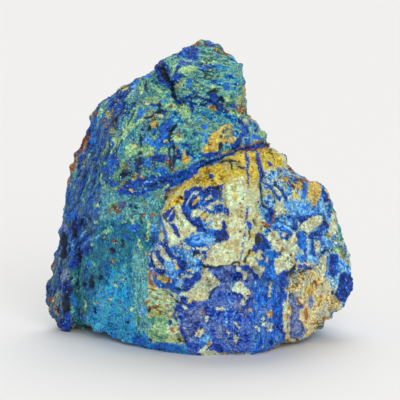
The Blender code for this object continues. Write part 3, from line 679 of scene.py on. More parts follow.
    "field powder": "sky 0 273,216 285,215 295,217 295,232 290,236 279,230 272,228",
    "field navy chip": "navy 2 274,229 274,232",
    "right clay": "cream 0 266,237 268,234 272,231 277,232 279,238 284,241 290,239 292,233 295,232"
    " 295,248 294,262 291,268 287,271 282,273 278,276 275,273 273,266 274,262 272,257 277,256 281,256"
    " 280,252 272,250 271,246 269,241",
    "ring": "blue 9 283,236",
    "ring clay": "cream 4.6 283,235",
    "low navy chip": "navy 0 259,252 263,254 265,257 263,258 260,255",
    "low clay chip": "cream 0 256,256 259,256 262,259 258,259",
    "low blue chip": "blue 0 253,257 258,259 263,260 265,263 264,265 260,263 256,260",
    "low clay chip right": "cream 0 265,257 268,257 268,262 267,264 265,261",
    "blue strap": "blue 0 264,251 272,250 277,254 278,258 273,259 274,264 273,270 275,280 266,280"
    " 266,272 267,266 268,262 268,256",
    "right foot clay": "cream 0 250,262 254,261 258,263 262,266 265,267 266,270 262,275 259,279 256,276"
    " 253,271 250,268 248,264",
    "right navy shade": "navy 0 276,275 282,273 287,271 292,268 295,264 295,273 288,275 280,277",
    # Right face
    "face rust rim": "rust 0 288,169 291,171 293,175 291,176 289,173",
    "face rust rim mid": "rust 0 292,176 296,179 301,180 306,180 312,180 318,181 323,188 320,188"
    " 316,184 306,184 299,183",
    "face rust rim end": "rust 0 315,181 319,182 319,184 316,184",
    "ray": "ochre 0 287,181 289,184 291,187 293,190 295,189 293,186 290,183 288,180",
    "ray right": "ochre 0 295,184 298,182 300,184 300,190 297,192 295,189",
    "ray low": "ochre 0 291,192 294,193 296,197 294,200 292,196",
    "ray left": "ochre 0 281,182 284,179 287,182 284,184",
    "ray blue": "blue 0 300,184 305,184 305,192 304,199 300,200",
    "ochre block": "ochre 0 306,186 310,183 314,182 317,186 319,190 319,195 317,200 315,205 314,208"
    " 312,206 311,201 308,199 305,198 306,192",
    "block shade": "navy 0 320,190 322,190 324,194 327,199 327,202 323,203 321,200 320,195",
    "block edge": "olive 2.4 321,184 324,191",
    "block foot": "ochre 2.4 324,192 327,198",
    "face powder field": "sky 0 282,201 300,202 312,208 320,204 327,206 326,215 310,216 295,216 283,212",
    "face navy edge": "navy 2.2 328,201 328,210 328,217",
    "face teal edge": "teal 0 329,203 334,206 335,213 330,213",
    "face clay edge": "cream 0 329,214 332,212 334,218 333,224 331,222",
    "clay shelf": "cream 0 298,227 303,223 306,220 310,217 314,216 318,216 321,219 320,223 319,226"
    " 315,229 310,231 307,234 305,237 303,233 300,231",
    "shelf navy left": "navy 0 294,218 300,217 306,217 304,221 300,224 296,222",
    "shelf navy low": "navy 0 292,225 296,226 296,231 292,230",
    "shelf blue thread": "blue 1.8 309,216 314,214 319,215 322,218",
    "shelf navy right": "navy 0 320,222 323,223 323,231 319,232 318,229 319,226",
    "shelf crack": "dark 2.2 324,223 324,228",
    "edge clay": "cream 0 327,224 331,222 335,223 336,228 334,233 331,237 328,234 327,229",
    "edge grey": "olive 0 323,233 328,234 328,240 324,240",
    "edge teal": "teal 0 336,226 340,230 343,240 338,240",
    "shelf foot": "navy 0 306,237 311,233 316,231 320,233 320,240 307,240",
    "smooth blue": "blue 0 296,232 303,232 305,238 304,247 303,250 297,248 295,244 295,238",
    "clay by the blue": "cream 0 289,236 293,233 293,238 292,244 291,247 289,243",
    "face navy streak": "navy 2.4 304,250 304,262",
    "face powder streak": "sky 2 308,242 309,252 308,262",
    "face navy streak right": "navy 1.8 311,242 312,256",
    "face clay sliver": "cream 0 312,243 317,242 319,244 318,249 316,254 314,256 313,250",
    "face blue sliver": "blue 2 318,240 319,247",
    "face powder sliver": "sky 0 312,256 315,255 315,262 311,262",
    "face navy ledge": "navy 0 297,264 303,264 305,266 311,264 314,264 311,269 305,268 298,267",
    "face ledge shade": "dark 2.4 306,267 311,267",
    "face pink clay": "cream 0 316,264 320,263 320,267 316,267",
    "edge powder": "sky 0 320,233 324,240 328,241 331,246 332,249 328,250 322,250 320,246",
    "edge ledge": "dark 2.2 320,253 323,251 328,250 331,249",
    "edge clay low": "cream 0 320,254 324,254 325,257 324,264 324,268 323,274 318,272 318,266 319,262"
    " 317,258",
    "edge navy": "navy 0 328,254 334,254 336,258 336,263 333,267 337,271 336,274 331,277 328,275"
    " 327,270",
    "edge powder low": "sky 0 334,264 340,262 344,266 343,270 338,272 334,269",
    "edge green": "green 0 331,246 337,247 340,252 338,256 332,254",
    "edge olive low": "olive 0 338,246 342,250 344,256 342,261 338,258 337,251",
    "knob": "navy 0 338,276 343,272 347,274 351,276 353,283 352,290 349,295 345,299 343,302 340,301"
    " 336,298 334,295 333,292 336,288 337,282",
    "knob powder": "sky 2.4 346,273 352,276",
    # Tan clay at the lower right
    "tan rust": "rust 0 312,280 315,280 317,285 316,289 314,286",
    "tan olive": "olive 2.4 320,283 320,292",
    "tan orange": "ochre 0 306,286 311,285 311,294 307,293",
    "tan orange low": "ochre 3 315,298 318,300",
    "tan wedge": "dark 0 284,274 288,271 292,267 294,264 296,265 295,270 291,274 286,275",
    "tan shade": "dark 0 295,271 299,268 305,268 309,269 303,271 298,272",
    "tan violet": "dusty 0 289,292 294,293 296,298 296,303 300,303 304,305 298,308 298,313 297,319"
    " 300,321 303,327 303,334 300,336 296,337 289,338 288,330 288,322 287,318 289,312 288,304 287,298",
    "tan teal thread": "teal 2.2 288,294 294,297",
    "tan violet chip": "dusty 0 308,295 311,294 312,300 312,306 309,308 308,303",
    "tan rust thread": "rust 2 296,298 298,304",
    "tan rust cluster": "rust 0 302,308 304,307 306,311 307,316 305,319 302,318 302,313",
    "tan rust chip": "rust 0 322,316 324,316 325,319 323,321 321,319",
    "tan ochre chip": "ochre 2.4 330,306 335,308",
    "tan orange foot": "rust 0 311,328 313,329 314,333 312,334",
    "tan grey chip": "dusty 0 329,313 337,314 336,318 330,318",
    "tan teal rim": "teal 0 320,325 326,321 328,321 322,327 318,330",
    "tan powder foot": "sky 0 300,338 304,337 309,337 305,340 301,341",
    "tan dark foot": "dark 0 296,338 300,338 300,341 296,341",
    # Violet lower face
    "lower hairline": "sky 1.6 233,270 232,278 231,288 230,296 229,303 227,310 226,318 225,326",
    "lower straw": "cream 1.2 266,322 267,330",
    "lower navy chip": "navy 0 235,271 240,271 242,274 242,279 238,281 234,279",
    "lower clay chip": "cream 0 243,270 247,272 248,276 246,279 243,280 242,276",
    "bird clay": "cream 0 233,286 236,283 240,281 243,282 244,286 247,288 248,291 248,296 247,299"
    " 245,298 243,294 240,293 236,292 233,291 232,289",
    "bird shade": "navy 2 233,293 238,295 242,297",
    "bird foot": "cream 0 240,300 241,297 243,297 244,300 244,304 240,304",
    "lower ochre chip": "ochre 0 250,298 253,301 252,303 250,301",
    "lower navy patch": "navy 0 251,274 258,274 258,280 252,280",
    "lower powder streak": "sky 2 254,280 254,286",
    "clay bar": "cream 0 270,279 272,281 271,288 272,293 270,297 268,297 269,290 269,284",
    "clay bar powder": "sky 1.8 273,280 273,288",
    "navy strip": "navy 0 280,275 284,275 285,281 283,288 284,294 282,299 281,303 279,307 278,300"
    " 280,292",
    "navy strip low": "navy 0 281,305 282,312 281,320 282,327 284,333 283,336 280,332 277,329 274,329"
    " 272,327 276,325 278,320 279,312",
    "clay ridge": "cream 0 287,287 286,292 285,297 284,302 282,307 281,312 282,318 282,325 282,330"
    " 284,334 285,340 287,341 287,337 286,333 285,328 286,324 285,318 285,312 285,306 286,300 287,295"
    " 288,290",
    "ridge ochre foot": "ochre 1.8 285,331 286,340",
    "ridge ochre tick": "ochre 1.8 284,314 284,319",
    "lower blue field": "blue 0 272,300 279,302 278,318 273,325 271,312",
    "lower clay drop": "cream 0 261,318 263,317 264,322 264,326 262,325",
    "lower clay drop right": "cream 0 269,321 271,322 271,328 270,331 268,330",
    "lower clay drop left": "cream 0 252,324 256,326 259,326 260,329 258,331 256,329 254,326",
    "lower clay tick": "cream 0 235,335 237,334 238,338 237,342 235,344 234,340",
    "lower clay speck": "cream 0 227,330 230,331 230,334 228,333",
    "lower ochre tick": "ochre 2 266,311 268,316",
    "lower ochre tick right": "ochre 2 270,311 270,316",
    "lower grey thread": "cream 2 235,322 240,326",
    "lower powder chip": "sky 0 232,311 235,312 237,315 236,317 233,313",
    "violet powder field": "dusty 0 187,312 198,307 208,310 206,318 199,323 196,332 192,341 187,338"
    " 184,328 185,318",
    "violet powder wedge": "dusty 0 223,266 229,264 231,272 231,284 229,294 225,290 224,280",
    "violet powder chip": "dusty 0 236,296 241,306 246,310 243,316 236,310 233,302",
    "violet powder drop": "dusty 0 246,268 250,270 252,278 250,284 246,280",
    "violet powder foot": "dusty 0 214,326 222,323 226,330 222,338 215,335",
    "lower ochre fleck": "ochre 0 247,307 250,309 251,312 248,311",
    "edge rust chip": "rust 0 79,150 82,152 80,157 77,162 74,164 74,159 76,155",
    "left rim blue": "blue 0 68,212 80,212 81,220 69,220",
    "left core upper": "dark 2.4 83,219 82,224",
    "left core middle": "dark 2.6 76,230 76,237",
    "left core lower": "dark 2.4 80,249 79,255 80,261",
    "foot edge olive": "olive 2.2 73,328 80,326 88,324",
    "tan blue chip": "blue 0 299,256 303,256 304,260 302,263 299,261",
    "field sky chip": "sky 0 273,216 280,216 282,223 275,225",
    "tan cream chip": "cream 0 292,278 296,278 296,282 293,283",
    "slab olive chip": "olive 0 229,186 235,186 237,191 231,192",
    "field dusty chip": "dusty 0 273,168 280,168 281,173 275,175",
    "crown green blot": "green 0 208,69 215,69 216,75 210,75",
    "middle blue chip": "blue 0 201,125 205,125 206,129 202,130",
    "swirl sky chip": "sky 0 179,269 183,269 184,273 180,274",
    "peak dusty chip": "dusty 0 157,63 161,62 163,66 158,68",
    "rust rim inner": "rust 2.6 91,135 88,142 87,148 84,153 81,159 78,165 75,171",
    "olive rim thread": "olive 1.4 90,141 86,150 82,158 77,168",
    "foot dark seam": "dark 2.2 69,286 69,294 68,300",
    "peak rust chip": "rust 0 223,48 226,49 229,54 227,56 224,53",
}

# Round flecks: mineral, width in front view steps, and the middles.
FLECKS = (
    ("rust", 2.4, "98,114 105,122 109,127 128,180 167,157 170,107 187,107 213,112 178,148 209,145"
     " 124,187"),
    ("rust", 3, "167,162 239,164 161,312 149,302"),
    ("rust", 2, "207,170 208,182 178,202 197,197 215,220 159,264 165,278 170,281 207,277 191,291"
     " 152,293 157,298 159,306 172,300 168,306 172,317 173,327 178,328 181,325 201,328 200,333 203,311"
     " 269,344 247,295 276,240"),
    ("rust", 2.2, "55,297 241,204 242,211 243,217 240,231 279,178 283,186 292,187 290,262 289,255"
     " 310,292 319,296 302,302 310,323 321,322 345,261 286,339 287,324 251,265 148,239 112,252 125,208"
     " 141,308"),
    ("ochre", 3, "136,175 143,175 136,147 166,142 153,155 200,295 164,295 208,344 151,313 273,236"
     " 281,249 270,293 283,180 124,279 252,122 58,312 197,234 210,227 220,226"),
    ("olive", 3, "117,167 157,143 147,253 145,204 158,197 106,238 209,279 207,284 211,285 155,286"
     " 169,291 316,313 328,317 262,347 77,290 51,308"),
    ("rust", 5, "156,307"),
    ("dark", 3, "143,130 181,197 331,292 142,222 137,207 129,322 152,339 270,342"),
    ("dark", 4.4, "150,130 141,154 94,277 102,277 150,309 86,284"),
    ("navy", 4, "80,184 97,160 164,114 173,143 170,322 232,105 188,154 268,164 287,218 325,227"),
    ("blue", 3.4, "90,265 84,316 132,206 254,127"),
    ("green", 3.6, "108,164 117,285 98,302 133,308 98,206 98,222 93,245"),
    ("sky", 3, "323,313 333,309 149,299 151,325 143,306 121,152"),
)


# Small helpers

def linear(code):
    """A linear colour with alpha from an sRGB hex code."""
    shades = [int(code[i:i + 2], 16) / 255 for i in (0, 2, 4)]
    return [s / 12.92 if s <= 0.04045 else ((s + 0.055) / 1.055) ** 2.4 for s in shades] + [1.0]


def smooth_step(values, low, high):
    share = np.clip((values - low) / (high - low), 0, 1)
    return share * share * (3 - 2 * share)


def outline(text):
    """Corners in front view steps from their text."""
    return np.array([[float(n) for n in pair.split(",")] for pair in text.split()])


def coordinates(mesh):
    """The mesh's points in millimetres."""
    points = np.empty(len(mesh.vertices) * 3)
    mesh.vertices.foreach_get("co", points)
    return points.reshape(-1, 3) / MM


def set_coordinates(mesh, points):
    mesh.vertices.foreach_set("co", (points * MM).ravel())
    mesh.update()


def point_normals(mesh):
    normals = np.empty(len(mesh.vertices) * 3)
    mesh.vertex_normals.foreach_get("vector", normals)
    return normals.reshape(-1, 3)


def keep_attribute(mesh, name, values):
    mesh.attributes.new(name, "FLOAT", "POINT").data.foreach_set("value", values.astype(np.float32))


def noise_over(points, size, start=0.0, octaves=3):
    """Fractal noise, about -1 to 1, with features of this size in millimetres."""
    return np.array([noise.fractal(p, 1.0, 2.0, octaves) for p in points / size + start])


def streak_over(points, kind, octaves=3):
    """The relief of one kind of streak, from the same directions that its colours use."""
    lean, sizes, start = STREAKS[kind]
    turn = np.array(Euler([math.radians(a) for a in lean]).to_matrix())
    return noise_over(points @ turn / np.array(sizes), 1.0, start, octaves)


def ranked(values):
    """The values spread evenly from 0 to 1."""
    places = np.empty(len(values))
    places[np.argsort(values)] = np.linspace(0, 1, len(values))
    return places


def evaluated_mesh(obj):
    """A copy of the object's mesh with its modifiers applied. The object is then removed."""
    graph = bpy.context.evaluated_depsgraph_get()
    mesh = bpy.data.meshes.new_from_object(obj.evaluated_get(graph))
    bpy.data.objects.remove(obj)
    return mesh


def new_object(name, data):
    obj = bpy.data.objects.new(name, data)
    bpy.context.scene.collection.objects.link(obj)
    return obj


# Where things lie in the front view

# Two sizes of noise move the borders: size in millimetres, and reach in steps.
WOBBLES = ((1.4, 1.3), (0.45, 0.6))
# Starts that noise, which the clock would start otherwise, so each run gives the same stone.
WOBBLE_SEED = 2


def front_steps(points):
    """Where the camera sees each point, in steps across and down."""
    away = points - VIEW_AIM
    scale = VIEW_DISTANCE / (VIEW_DISTANCE - away @ VIEW_BACK) / STEP
    return np.stack((VIEW_MIDDLE + away[:, 0] * scale, VIEW_MIDDLE - away @ VIEW_UP * scale), axis=1)


def wobbled(spots, points):
    """The spots moved a little, so that no border runs straight."""
    noise.seed_set(WOBBLE_SEED)
    for size, reach in WOBBLES:
        spots = spots + reach * np.array([noise.noise_vector(p) for p in points / size])[:, :2]
    return spots


def distance_to_line(spots, start, end):
    along = end - start
    share = np.clip((spots - start) @ along / max(along @ along, 1e-9), 0, 1)
    return np.linalg.norm(spots - start - share[:, None] * along, axis=1)


def is_inside(spots, corners):
    inside = np.zeros(len(spots), bool)
    for (ax, ay), (bx, by) in zip(corners, np.roll(corners, -1, axis=0)):
        crosses = (ay > spots[:, 1]) != (by > spots[:, 1])
        level = (spots[:, 1] - ay) / (by - ay if by != ay else 1e-9)
        inside ^= crosses & (spots[:, 0] < ax + level * (bx - ax))
    return inside


def outline_depth(spots, corners):
    """How far each spot lies inside an outline, in steps, and below 0 outside it."""
    pairs = zip(corners, np.roll(corners, -1, axis=0))
    nearest = np.min([distance_to_line(spots, a, b) for a, b in pairs], axis=0)
    return np.where(is_inside(spots, corners), nearest, -nearest)


def mark_depth(spots, corners, width):
    if width == 0:
        return outline_depth(spots, corners)
    ends = corners[1:] if len(corners) > 1 else corners
    nearest = np.min([distance_to_line(spots, a, b) for a, b in zip(corners, ends)], axis=0)
    return width / 2 - nearest


def push_near(spots, places):
    """How far each spot is moved by a table of places, reaches and pushes."""
    push = np.zeros(len(spots))
    for text, reach, height in places:
        away = np.linalg.norm(spots - outline(text), axis=1)
        push += height * smooth_step(-away, -reach, 0)
    return push


# Minerals

# A mineral's depth counts this many steps to each side of its border.
EDGE = 3.0

# On the unseen sides, the rock faces that a mineral keeps to, and how strongly it does.
HOMES = {
    "cream": "clay tan_clay right_field",
    "ochre": "clay tan_clay ochre_clay",
    "green": "shoulder crown green_clay",
    "olive": "shoulder slope",
    "sky": "right_field right_strip swirl blue_foot",
    "navy": "left_face lens lower_face",
    "dusty": "lower_face tan_clay",
}
HOMELY = 0.7

# Where the first mineral's patches start in the noise, and how far on each next mineral's do.
PATCH_START = 200
PATCH_SHIFT = 7.3
# How fast a patch deepens from its border, against its size.
PATCH_SLOPE = 0.6
# Half the width of the navy rim round a patch of clay, in steps.
CLAY_RIM = 0.8


def all_marks():
    """Every mark in the order that they were laid: mineral, width, corners."""
    for text in MARKS.values():
        mineral, width, points = text.split(" ", 2)
        yield mineral, float(width), outline(points)
    for mineral, width, text in FLECKS:
        for middle in outline(text):
            yield mineral, width, middle[None, :]


def mineral_depths(spots):
    """How deep each spot lies in each mineral. A later mark cuts into the other minerals."""
    depths = {mineral: np.full(len(spots), -EDGE) for mineral in MINERALS}
    for mineral, width, corners in all_marks():
        reach = EDGE + width / 2
        beyond = (spots < corners.min(axis=0) - reach) | (spots > corners.max(axis=0) + reach)
        near = np.flatnonzero(~beyond.any(axis=1))
        if len(near) == 0:
            continue
        depth = np.clip(mark_depth(spots[near], corners, width), -EDGE, EDGE)
        for other, values in depths.items():
            if other == mineral:
                values[near] = np.maximum(values[near], depth)
            else:
                values[near] = np.minimum(values[near], -depth)
    return depths


def patches_over(points, size, share, start, likes):
    """Depth in steps of patches of this size that cover this share of the rock, where it likes them."""
    field = noise_over(points, size, start, 4) + likes
    return (field - np.quantile(field, 1 - share)) * size * PATCH_SLOPE / STEP


def hidden_depths(points, shares):
    """Mineral patches for the sides that the front view doesn't show."""
    depths = {}
    for place, (mineral, (_, _, _, size, share)) in enumerate(MINERALS.items()):
        home = sum(s for s, name in zip(shares, GROUNDS) if name in HOMES.get(mineral, "").split())
        start = PATCH_SHIFT * place + PATCH_START
        depths[mineral] = patches_over(points, size, share, start, HOMELY * home)
    rim = CLAY_RIM - np.abs(depths["cream"] + CLAY_RIM)
    depths["navy"] = np.maximum(depths["navy"], rim)
    return {mineral: np.clip(values, -EDGE, EDGE) for mineral, values in depths.items()}


# Rock faces

# A rock face's depth counts this many steps to each side of its outline.
FACE_REACH = 8
# Borders between rock faces are this many times as ragged as the faces are rough.
RAGGED = 12.0
# How fast one rock face gives way to the next.
SHARP = 1.3
# How far the noise of each next face is moved on, for its ragged border.
BORDER_SHIFT = 9.1

# On the unseen sides: how much a face's liking counts, how much chance does, the size of one
# stretch of chance, where the first face's chance starts, and how far on each next one's does.
LIKING = 6
CHANCE = 15
CHANCE_SIZE = 18.0
CHANCE_START = 50
CHANCE_SHIFT = 11.7


def front_scores(spots):
    """How well each rock face suits each spot. A later face cuts into the earlier ones."""
    depths = []
    for (_, _, _, _, text) in GROUNDS.values():
        depth = np.clip(outline_depth(spots, outline(text)), -FACE_REACH, FACE_REACH)
        depths = [np.minimum(earlier, -depth) for earlier in depths] + [depth]
    return np.array(depths)


def hidden_scores(points, normals):
    height = points[:, 2] / STONE_HEIGHT * 2 - 1
    scores = []
    for place, (_, _, _, (right, back, up, always), _) in enumerate(GROUNDS.values()):
        likes = always + right * normals[:, 0] + back * normals[:, 1] + up * height
        chance = noise_over(points, CHANCE_SIZE, CHANCE_SHIFT * place + CHANCE_START, 4)
        scores.append(LIKING * likes + CHANCE * chance)
    return np.array(scores)


def ground_shares(points, normals, spots, facing):
    """The share of each rock face at each point. The shares at a point add up to 1."""
    scores = facing * front_scores(spots) + (1 - facing) * hidden_scores(points, normals)
    for place, (kind, height, _, _, _) in enumerate(GROUNDS.values()):
        scores[place] += RAGGED * height * streak_over(points + BORDER_SHIFT * place, kind, 2)
    shares = np.exp(SHARP * (scores - scores.max(axis=0)))
    return shares / shares.sum(axis=0)


def kind_share(shares, kind):
    """The share of the rock faces with this kind of streak at each point."""
    return sum(share for share, ground in zip(shares, GROUNDS.values()) if ground[0] == kind)


def ground_relief(shares, kind=None):
    """How high the relief of the rock faces is at each point, for one kind of streak or for all."""
    return sum(
        ground[1] * share for share, ground in zip(shares, GROUNDS.values()) if kind in (None, ground[0])
    )


# Stone

# Points of the solid closer than this are one point.
SAME_POINT = 0.001
# How often the net is smoothed before it is refined, and about how far that draws it in.
SMOOTHINGS = 4
SWELL = 0.6
# A face whose normal leans this much towards the camera is in its view, and is refined.
IN_VIEW = 0.06
# The front's marks fade in from the first lean of the normal to the second.
FADE = (-0.02, 0.12)

# A band of colour is this many streaks wide.
BAND = 2.4

# Cracks lie this many streaks apart. Their width is in the units of the noise that draws them.
CRACK_GAP = 1.7
CRACK_START = 3.7
CRACK_WIDTH = 0.17
CRACK_DEPTH = 0.25
# Cracks come and go over this length, with the range of noise and of relief that they need.
CRACK_LENGTH = 7.0
CRACK_LENGTH_START = 41.0
CRACK_BREAKS = (-0.25, 0.3)
CRACK_RELIEF = (0.18, 0.36)

# Broken lumps and pits: size, where the noise starts, octaves, and height against roughness.
LUMPS = ((3.2, 5.0, 5, 1.0), (0.9, 15.0, 3, 0.5))
# Depths in steps from which a crust starts to stand up and is fully up.
CRUST_RISE = (-1.0, 1.6)
# Heights above the floor between which the relief fades in, and below which the base is flat.
FOOT = (0.3, 1.6)
FLAT_BASE = 0.4


def solid_net(cell):
    """The CAD solid as an even net of small faces, with its flat cuts melted."""
    bm = bmesh.new()
    bm.from_mesh(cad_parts[STONE_NODE].data)
    bmesh.ops.remove_doubles(bm, verts=bm.verts, dist=SAME_POINT * MM)
    mesh = bpy.data.meshes.new("stone_net")
    bm.to_mesh(mesh)
    bm.free()
    obj = new_object("stone_net", mesh)
    remesh = obj.modifiers.new("Even net", "REMESH")
    remesh.mode = "VOXEL"
    remesh.voxel_size = cell
    return evaluated_mesh(obj)


def smooth_points(bm):
    bmesh.ops.smooth_vert(
        bm, verts=bm.verts, factor=0.5, use_axis_x=True, use_axis_y=True, use_axis_z=True
    )


def refine_front(mesh):
    """Smooths the net and halves the faces that the front view shows."""
    bm = bmesh.new()
    bm.from_mesh(mesh)
    for _ in range(SMOOTHINGS):
        smooth_points(bm)
    back = Vector(VIEW_BACK)
    edges = {edge for face in bm.faces if face.normal.dot(back) > IN_VIEW for edge in face.edges}
    bmesh.ops.subdivide_edges(bm, edges=list(edges), cuts=1, use_grid_fill=True)
    smooth_points(bm)
    bmesh.ops.recalc_face_normals(bm, faces=bm.faces)
    for face in bm.faces:
        face.smooth = True
    bm.to_mesh(mesh)
    bm.free()


def chip_bottom(mesh):
    """Raises the bottom edge off the floor where it is chipped."""
    points = coordinates(mesh)
    points[:, 2] += push_near(front_steps(points), CHIPS)
    set_coordinates(mesh, points)


def cracks(points, shares):
    """Thin cracks along the streaks, from 0 on sound rock to 1 in the middle of a crack."""
    lines = np.zeros(len(points))
    for kind in STREAKS:
        layers = streak_over(points / CRACK_GAP + CRACK_START, kind)
        lines += kind_share(shares, kind) * (1 - smooth_step(np.abs(layers), 0, CRACK_WIDTH))
    broken = smooth_step(noise_over(points, CRACK_LENGTH, CRACK_LENGTH_START), *CRACK_BREAKS)
    soft = smooth_step(ground_relief(shares), *CRACK_RELIEF)
    return lines * broken * soft


def stone_relief(points, shares, depths, crack, roughness):
    """How far each point moves along its normal: layers, grit, cracks and raised crusts."""
    relief = push_near(front_steps(points), NUDGES) + SWELL
    lumps = [height * noise_over(points, size, start, octaves) for size, start, octaves, height in LUMPS]
    relief += roughness * sum(lumps)
    for kind in STREAKS:
        relief += ground_relief(shares, kind) * streak_over(points, kind)
    relief -= CRACK_DEPTH * crack
    for mineral, (_, _, raise_by, _, _) in MINERALS.items():
        relief += raise_by * smooth_step(depths[mineral], *CRUST_RISE)
    return relief


def carve(mesh, points, normals, relief):
    """Moves the points by the relief and keeps the base flat."""
    standing = smooth_step(points[:, 2], *FOOT)
    moved = points + normals * (relief * standing)[:, None]
    moved[:, 2] = np.where(points[:, 2] < FLAT_BASE, 0, np.maximum(moved[:, 2], 0))
    set_coordinates(mesh, moved)


def keep_shares(mesh, shares):
    """Keeps each rock face's share of what it and the faces before it cover."""
    total = np.zeros(len(mesh.vertices))
    for name, share in zip(GROUNDS, shares):
        total = total + share
        keep_attribute(mesh, "face_" + name, share / np.maximum(total, 1e-6))


def dressed_mesh(cell, roughness):
    """The stone's mesh, with what its material and the grains need to know about it."""
    mesh = solid_net(cell)
    refine_front(mesh)
    chip_bottom(mesh)
    points, normals = coordinates(mesh), point_normals(mesh)
    facing = smooth_step(normals @ VIEW_BACK, *FADE)
    spots = wobbled(front_steps(points), points)
    shares = ground_shares(points, normals, spots, facing)
    front, hidden = mineral_depths(spots), hidden_depths(points, shares)
    depths = {m: facing * front[m] + (1 - facing) * hidden[m] for m in MINERALS}
    crack = cracks(points, shares)
    relief = stone_relief(points, shares, depths, crack, roughness)
    carve(mesh, points, normals, relief)
    keep_shares(mesh, shares)
    for mineral, depth in depths.items():
        keep_attribute(mesh, "mineral_" + mineral, depth)
    bands = sum(kind_share(shares, kind) * streak_over(points / BAND, kind) for kind in STREAKS)
    keep_attribute(mesh, "patchy", ranked(bands))
    # The relief, which the material turns into painted shade in hollows and painted light on raised parts.
    keep_attribute(mesh, "height", relief - SWELL)
    keep_attribute(mesh, "crack", crack)
    return mesh


# Grains

# An icosphere of one division has this many points.
CRYSTAL_POINTS = 12
# A grain's middle lies this share of its radius above the stone's face, so it is part sunk in.
SUNK = -0.25


def stone_faces(mesh):
    """The middle, normal, area and first point of each face of the stone."""
    count = len(mesh.polygons)
    middles, normals = np.empty(count * 3), np.empty(count * 3)
    areas, starts = np.empty(count), np.empty(count, np.int32)
    corners = np.empty(len(mesh.loops), np.int32)
    mesh.polygons.foreach_get("center", middles)
    mesh.polygons.foreach_get("normal", normals)
    mesh.polygons.foreach_get("area", areas)
    mesh.polygons.foreach_get("loop_start", starts)
    mesh.loops.foreach_get("vertex_index", corners)
    return middles.reshape(-1, 3) / MM, normals.reshape(-1, 3), areas, corners[starts]


def read_attribute(mesh, name):
    values = np.empty(len(mesh.vertices), np.float32)
    mesh.attributes[name].data.foreach_get("value", values)
    return values


def grain_liking(mesh, homes):
    """How well each point suits a grain that sits on these rock faces and minerals."""
    suits = np.zeros(len(mesh.vertices))
    rest = np.ones(len(mesh.vertices))
    for name in reversed(GROUNDS):
        share = np.clip(read_attribute(mesh, "face_" + name), 0, 1)
        suits += rest * share * (name in homes)
        rest *= 1 - share
    for mineral in MINERALS:
        suits = np.where(read_attribute(mesh, "mineral_" + mineral) > 0, mineral in homes, suits)
    return suits


def grain_row(count):
    """This many copies of one small crystal, one after the other."""
    bm = bmesh.new()
    bmesh.ops.create_icosphere(bm, subdivisions=1, radius=1)
    mesh = bpy.data.meshes.new("grain_row")
    bm.to_mesh(mesh)
    bm.free()
    obj = new_object("grain_row", mesh)
    row = obj.modifiers.new("Copies", "ARRAY")
    row.count = count
    row.use_relative_offset = False
    return evaluated_mesh(obj)


def scatter(mesh, stone, sizes, stretch, homes, rng):
    """Sets each copy on a face of the stone, turned at random and part sunk in."""
    middles, normals, areas, firsts = stone_faces(stone)
    chances = areas * grain_liking(stone, homes)[firsts]
    count = len(mesh.vertices) // CRYSTAL_POINTS
    chosen = rng.choice(len(chances), count, p=chances / chances.sum())
    shape = coordinates(mesh)[:CRYSTAL_POINTS] * MM
    low, high = sizes
    reach = (low + (high - low) * rng.random(count) ** 2) / 2
    grown = shape * reach[:, None, None] * np.array((1, 1, stretch))
    angles = rng.random((count, 3)) * math.tau
    turns = np.array([Euler(turn).to_matrix() for turn in angles])
    places = middles[chosen] + normals[chosen] * (SUNK * reach)[:, None]
    points = np.einsum("gij,gpj->gpi", turns, grown) + places[:, None]
    points = points.reshape(-1, 3)
    points[:, 2] = np.maximum(points[:, 2], 0)
    set_coordinates(mesh, points)
    keep_attribute(mesh, "tint", np.repeat(rng.random(count), CRYSTAL_POINTS))


# Materials

# Real grit is near 0.1 mm. It is drawn at 0.4 mm, and at 0.3 mm on the grains, the finest that
# shows. Crumbs have their real size.
GRIT = 0.4
FINE_GRIT = 0.3
CRUMB = 1.3
BUMP = 0.35
FINE_BUMP = 0.1

# A streak's pattern: how far its noise bends the grains, grains to a streak, and how much of
# a ramp the patches and the single grains reach over.
BENT = 0.9
GRAINS_A_STREAK = 2.3
PATCH_REACH = 0.6
GRAIN_REACH = 0.5

# A border is torn by the single grains and by grit, from where it starts.
TEAR_START = -1.7
GRAIN_TEAR = 1.1
GRIT_TEAR = 2.6

# A mineral goes from deep to pale with crumbs, patches and single grains, from where it starts.
TONE_START = -0.95
CRUMB_TONE = 2.0
PATCH_TONE = 0.5
GRAIN_TONE = 0.4

# The painted shade in a crack, the least light on the stone, and its strength of colour.
CRACK_SHADE = -1.15
LEAST_LIGHT = 0.15
COLOUR_STRENGTH = 1.12

# What turns into what: from low, from high, to low, to high. Blue rock is azurite crystals, with
# deep gaps darkened by painted shade, strong speckles and some gloss. The rest is dull and earthy.
STREAK_NOISE = (0.3, 0.7, -0.45, 0.35)
BORDER_DEPTH = (-0.55, 0.45, 0.0, 0.94)
BLUE_GAP_DEPTH_AND_SHADE = (-0.05, 0.2, -0.25, -0.85)
BLUE_SPECKLE = (-0.05, 0.2, 1.7, 3.4)
BLUE_GLOSS = (0.0, 0.4, 0.9, 0.45)
# Painted shade in the hollows of the relief and painted light on its raised parts.
RELIEF_SHADE_AND_LIGHT = (-0.7, 0.5, 1.24, 1.66)
# About four grains in ten get a painted glint, as if a cleavage face caught the light.
GLINT = (0.6, 0.66, 0.0, 0.35)


def add_node(tree, kind, inputs=None, **settings):
    """A node with its settings, and with each input set to a value or linked to a socket."""
    node = tree.nodes.new(kind)
    for name, value in settings.items():
        setattr(node, name, value)
    for name, value in (inputs or {}).items():
        if isinstance(value, bpy.types.NodeSocket):
            tree.links.new(value, node.inputs[name])
        else:
            node.inputs[name].default_value = value
    return node


def ends(limits):
    """What turns into what, by the names of the sockets that take it."""
    return dict(zip(("From Min", "From Max", "To Min", "To Max"), limits))


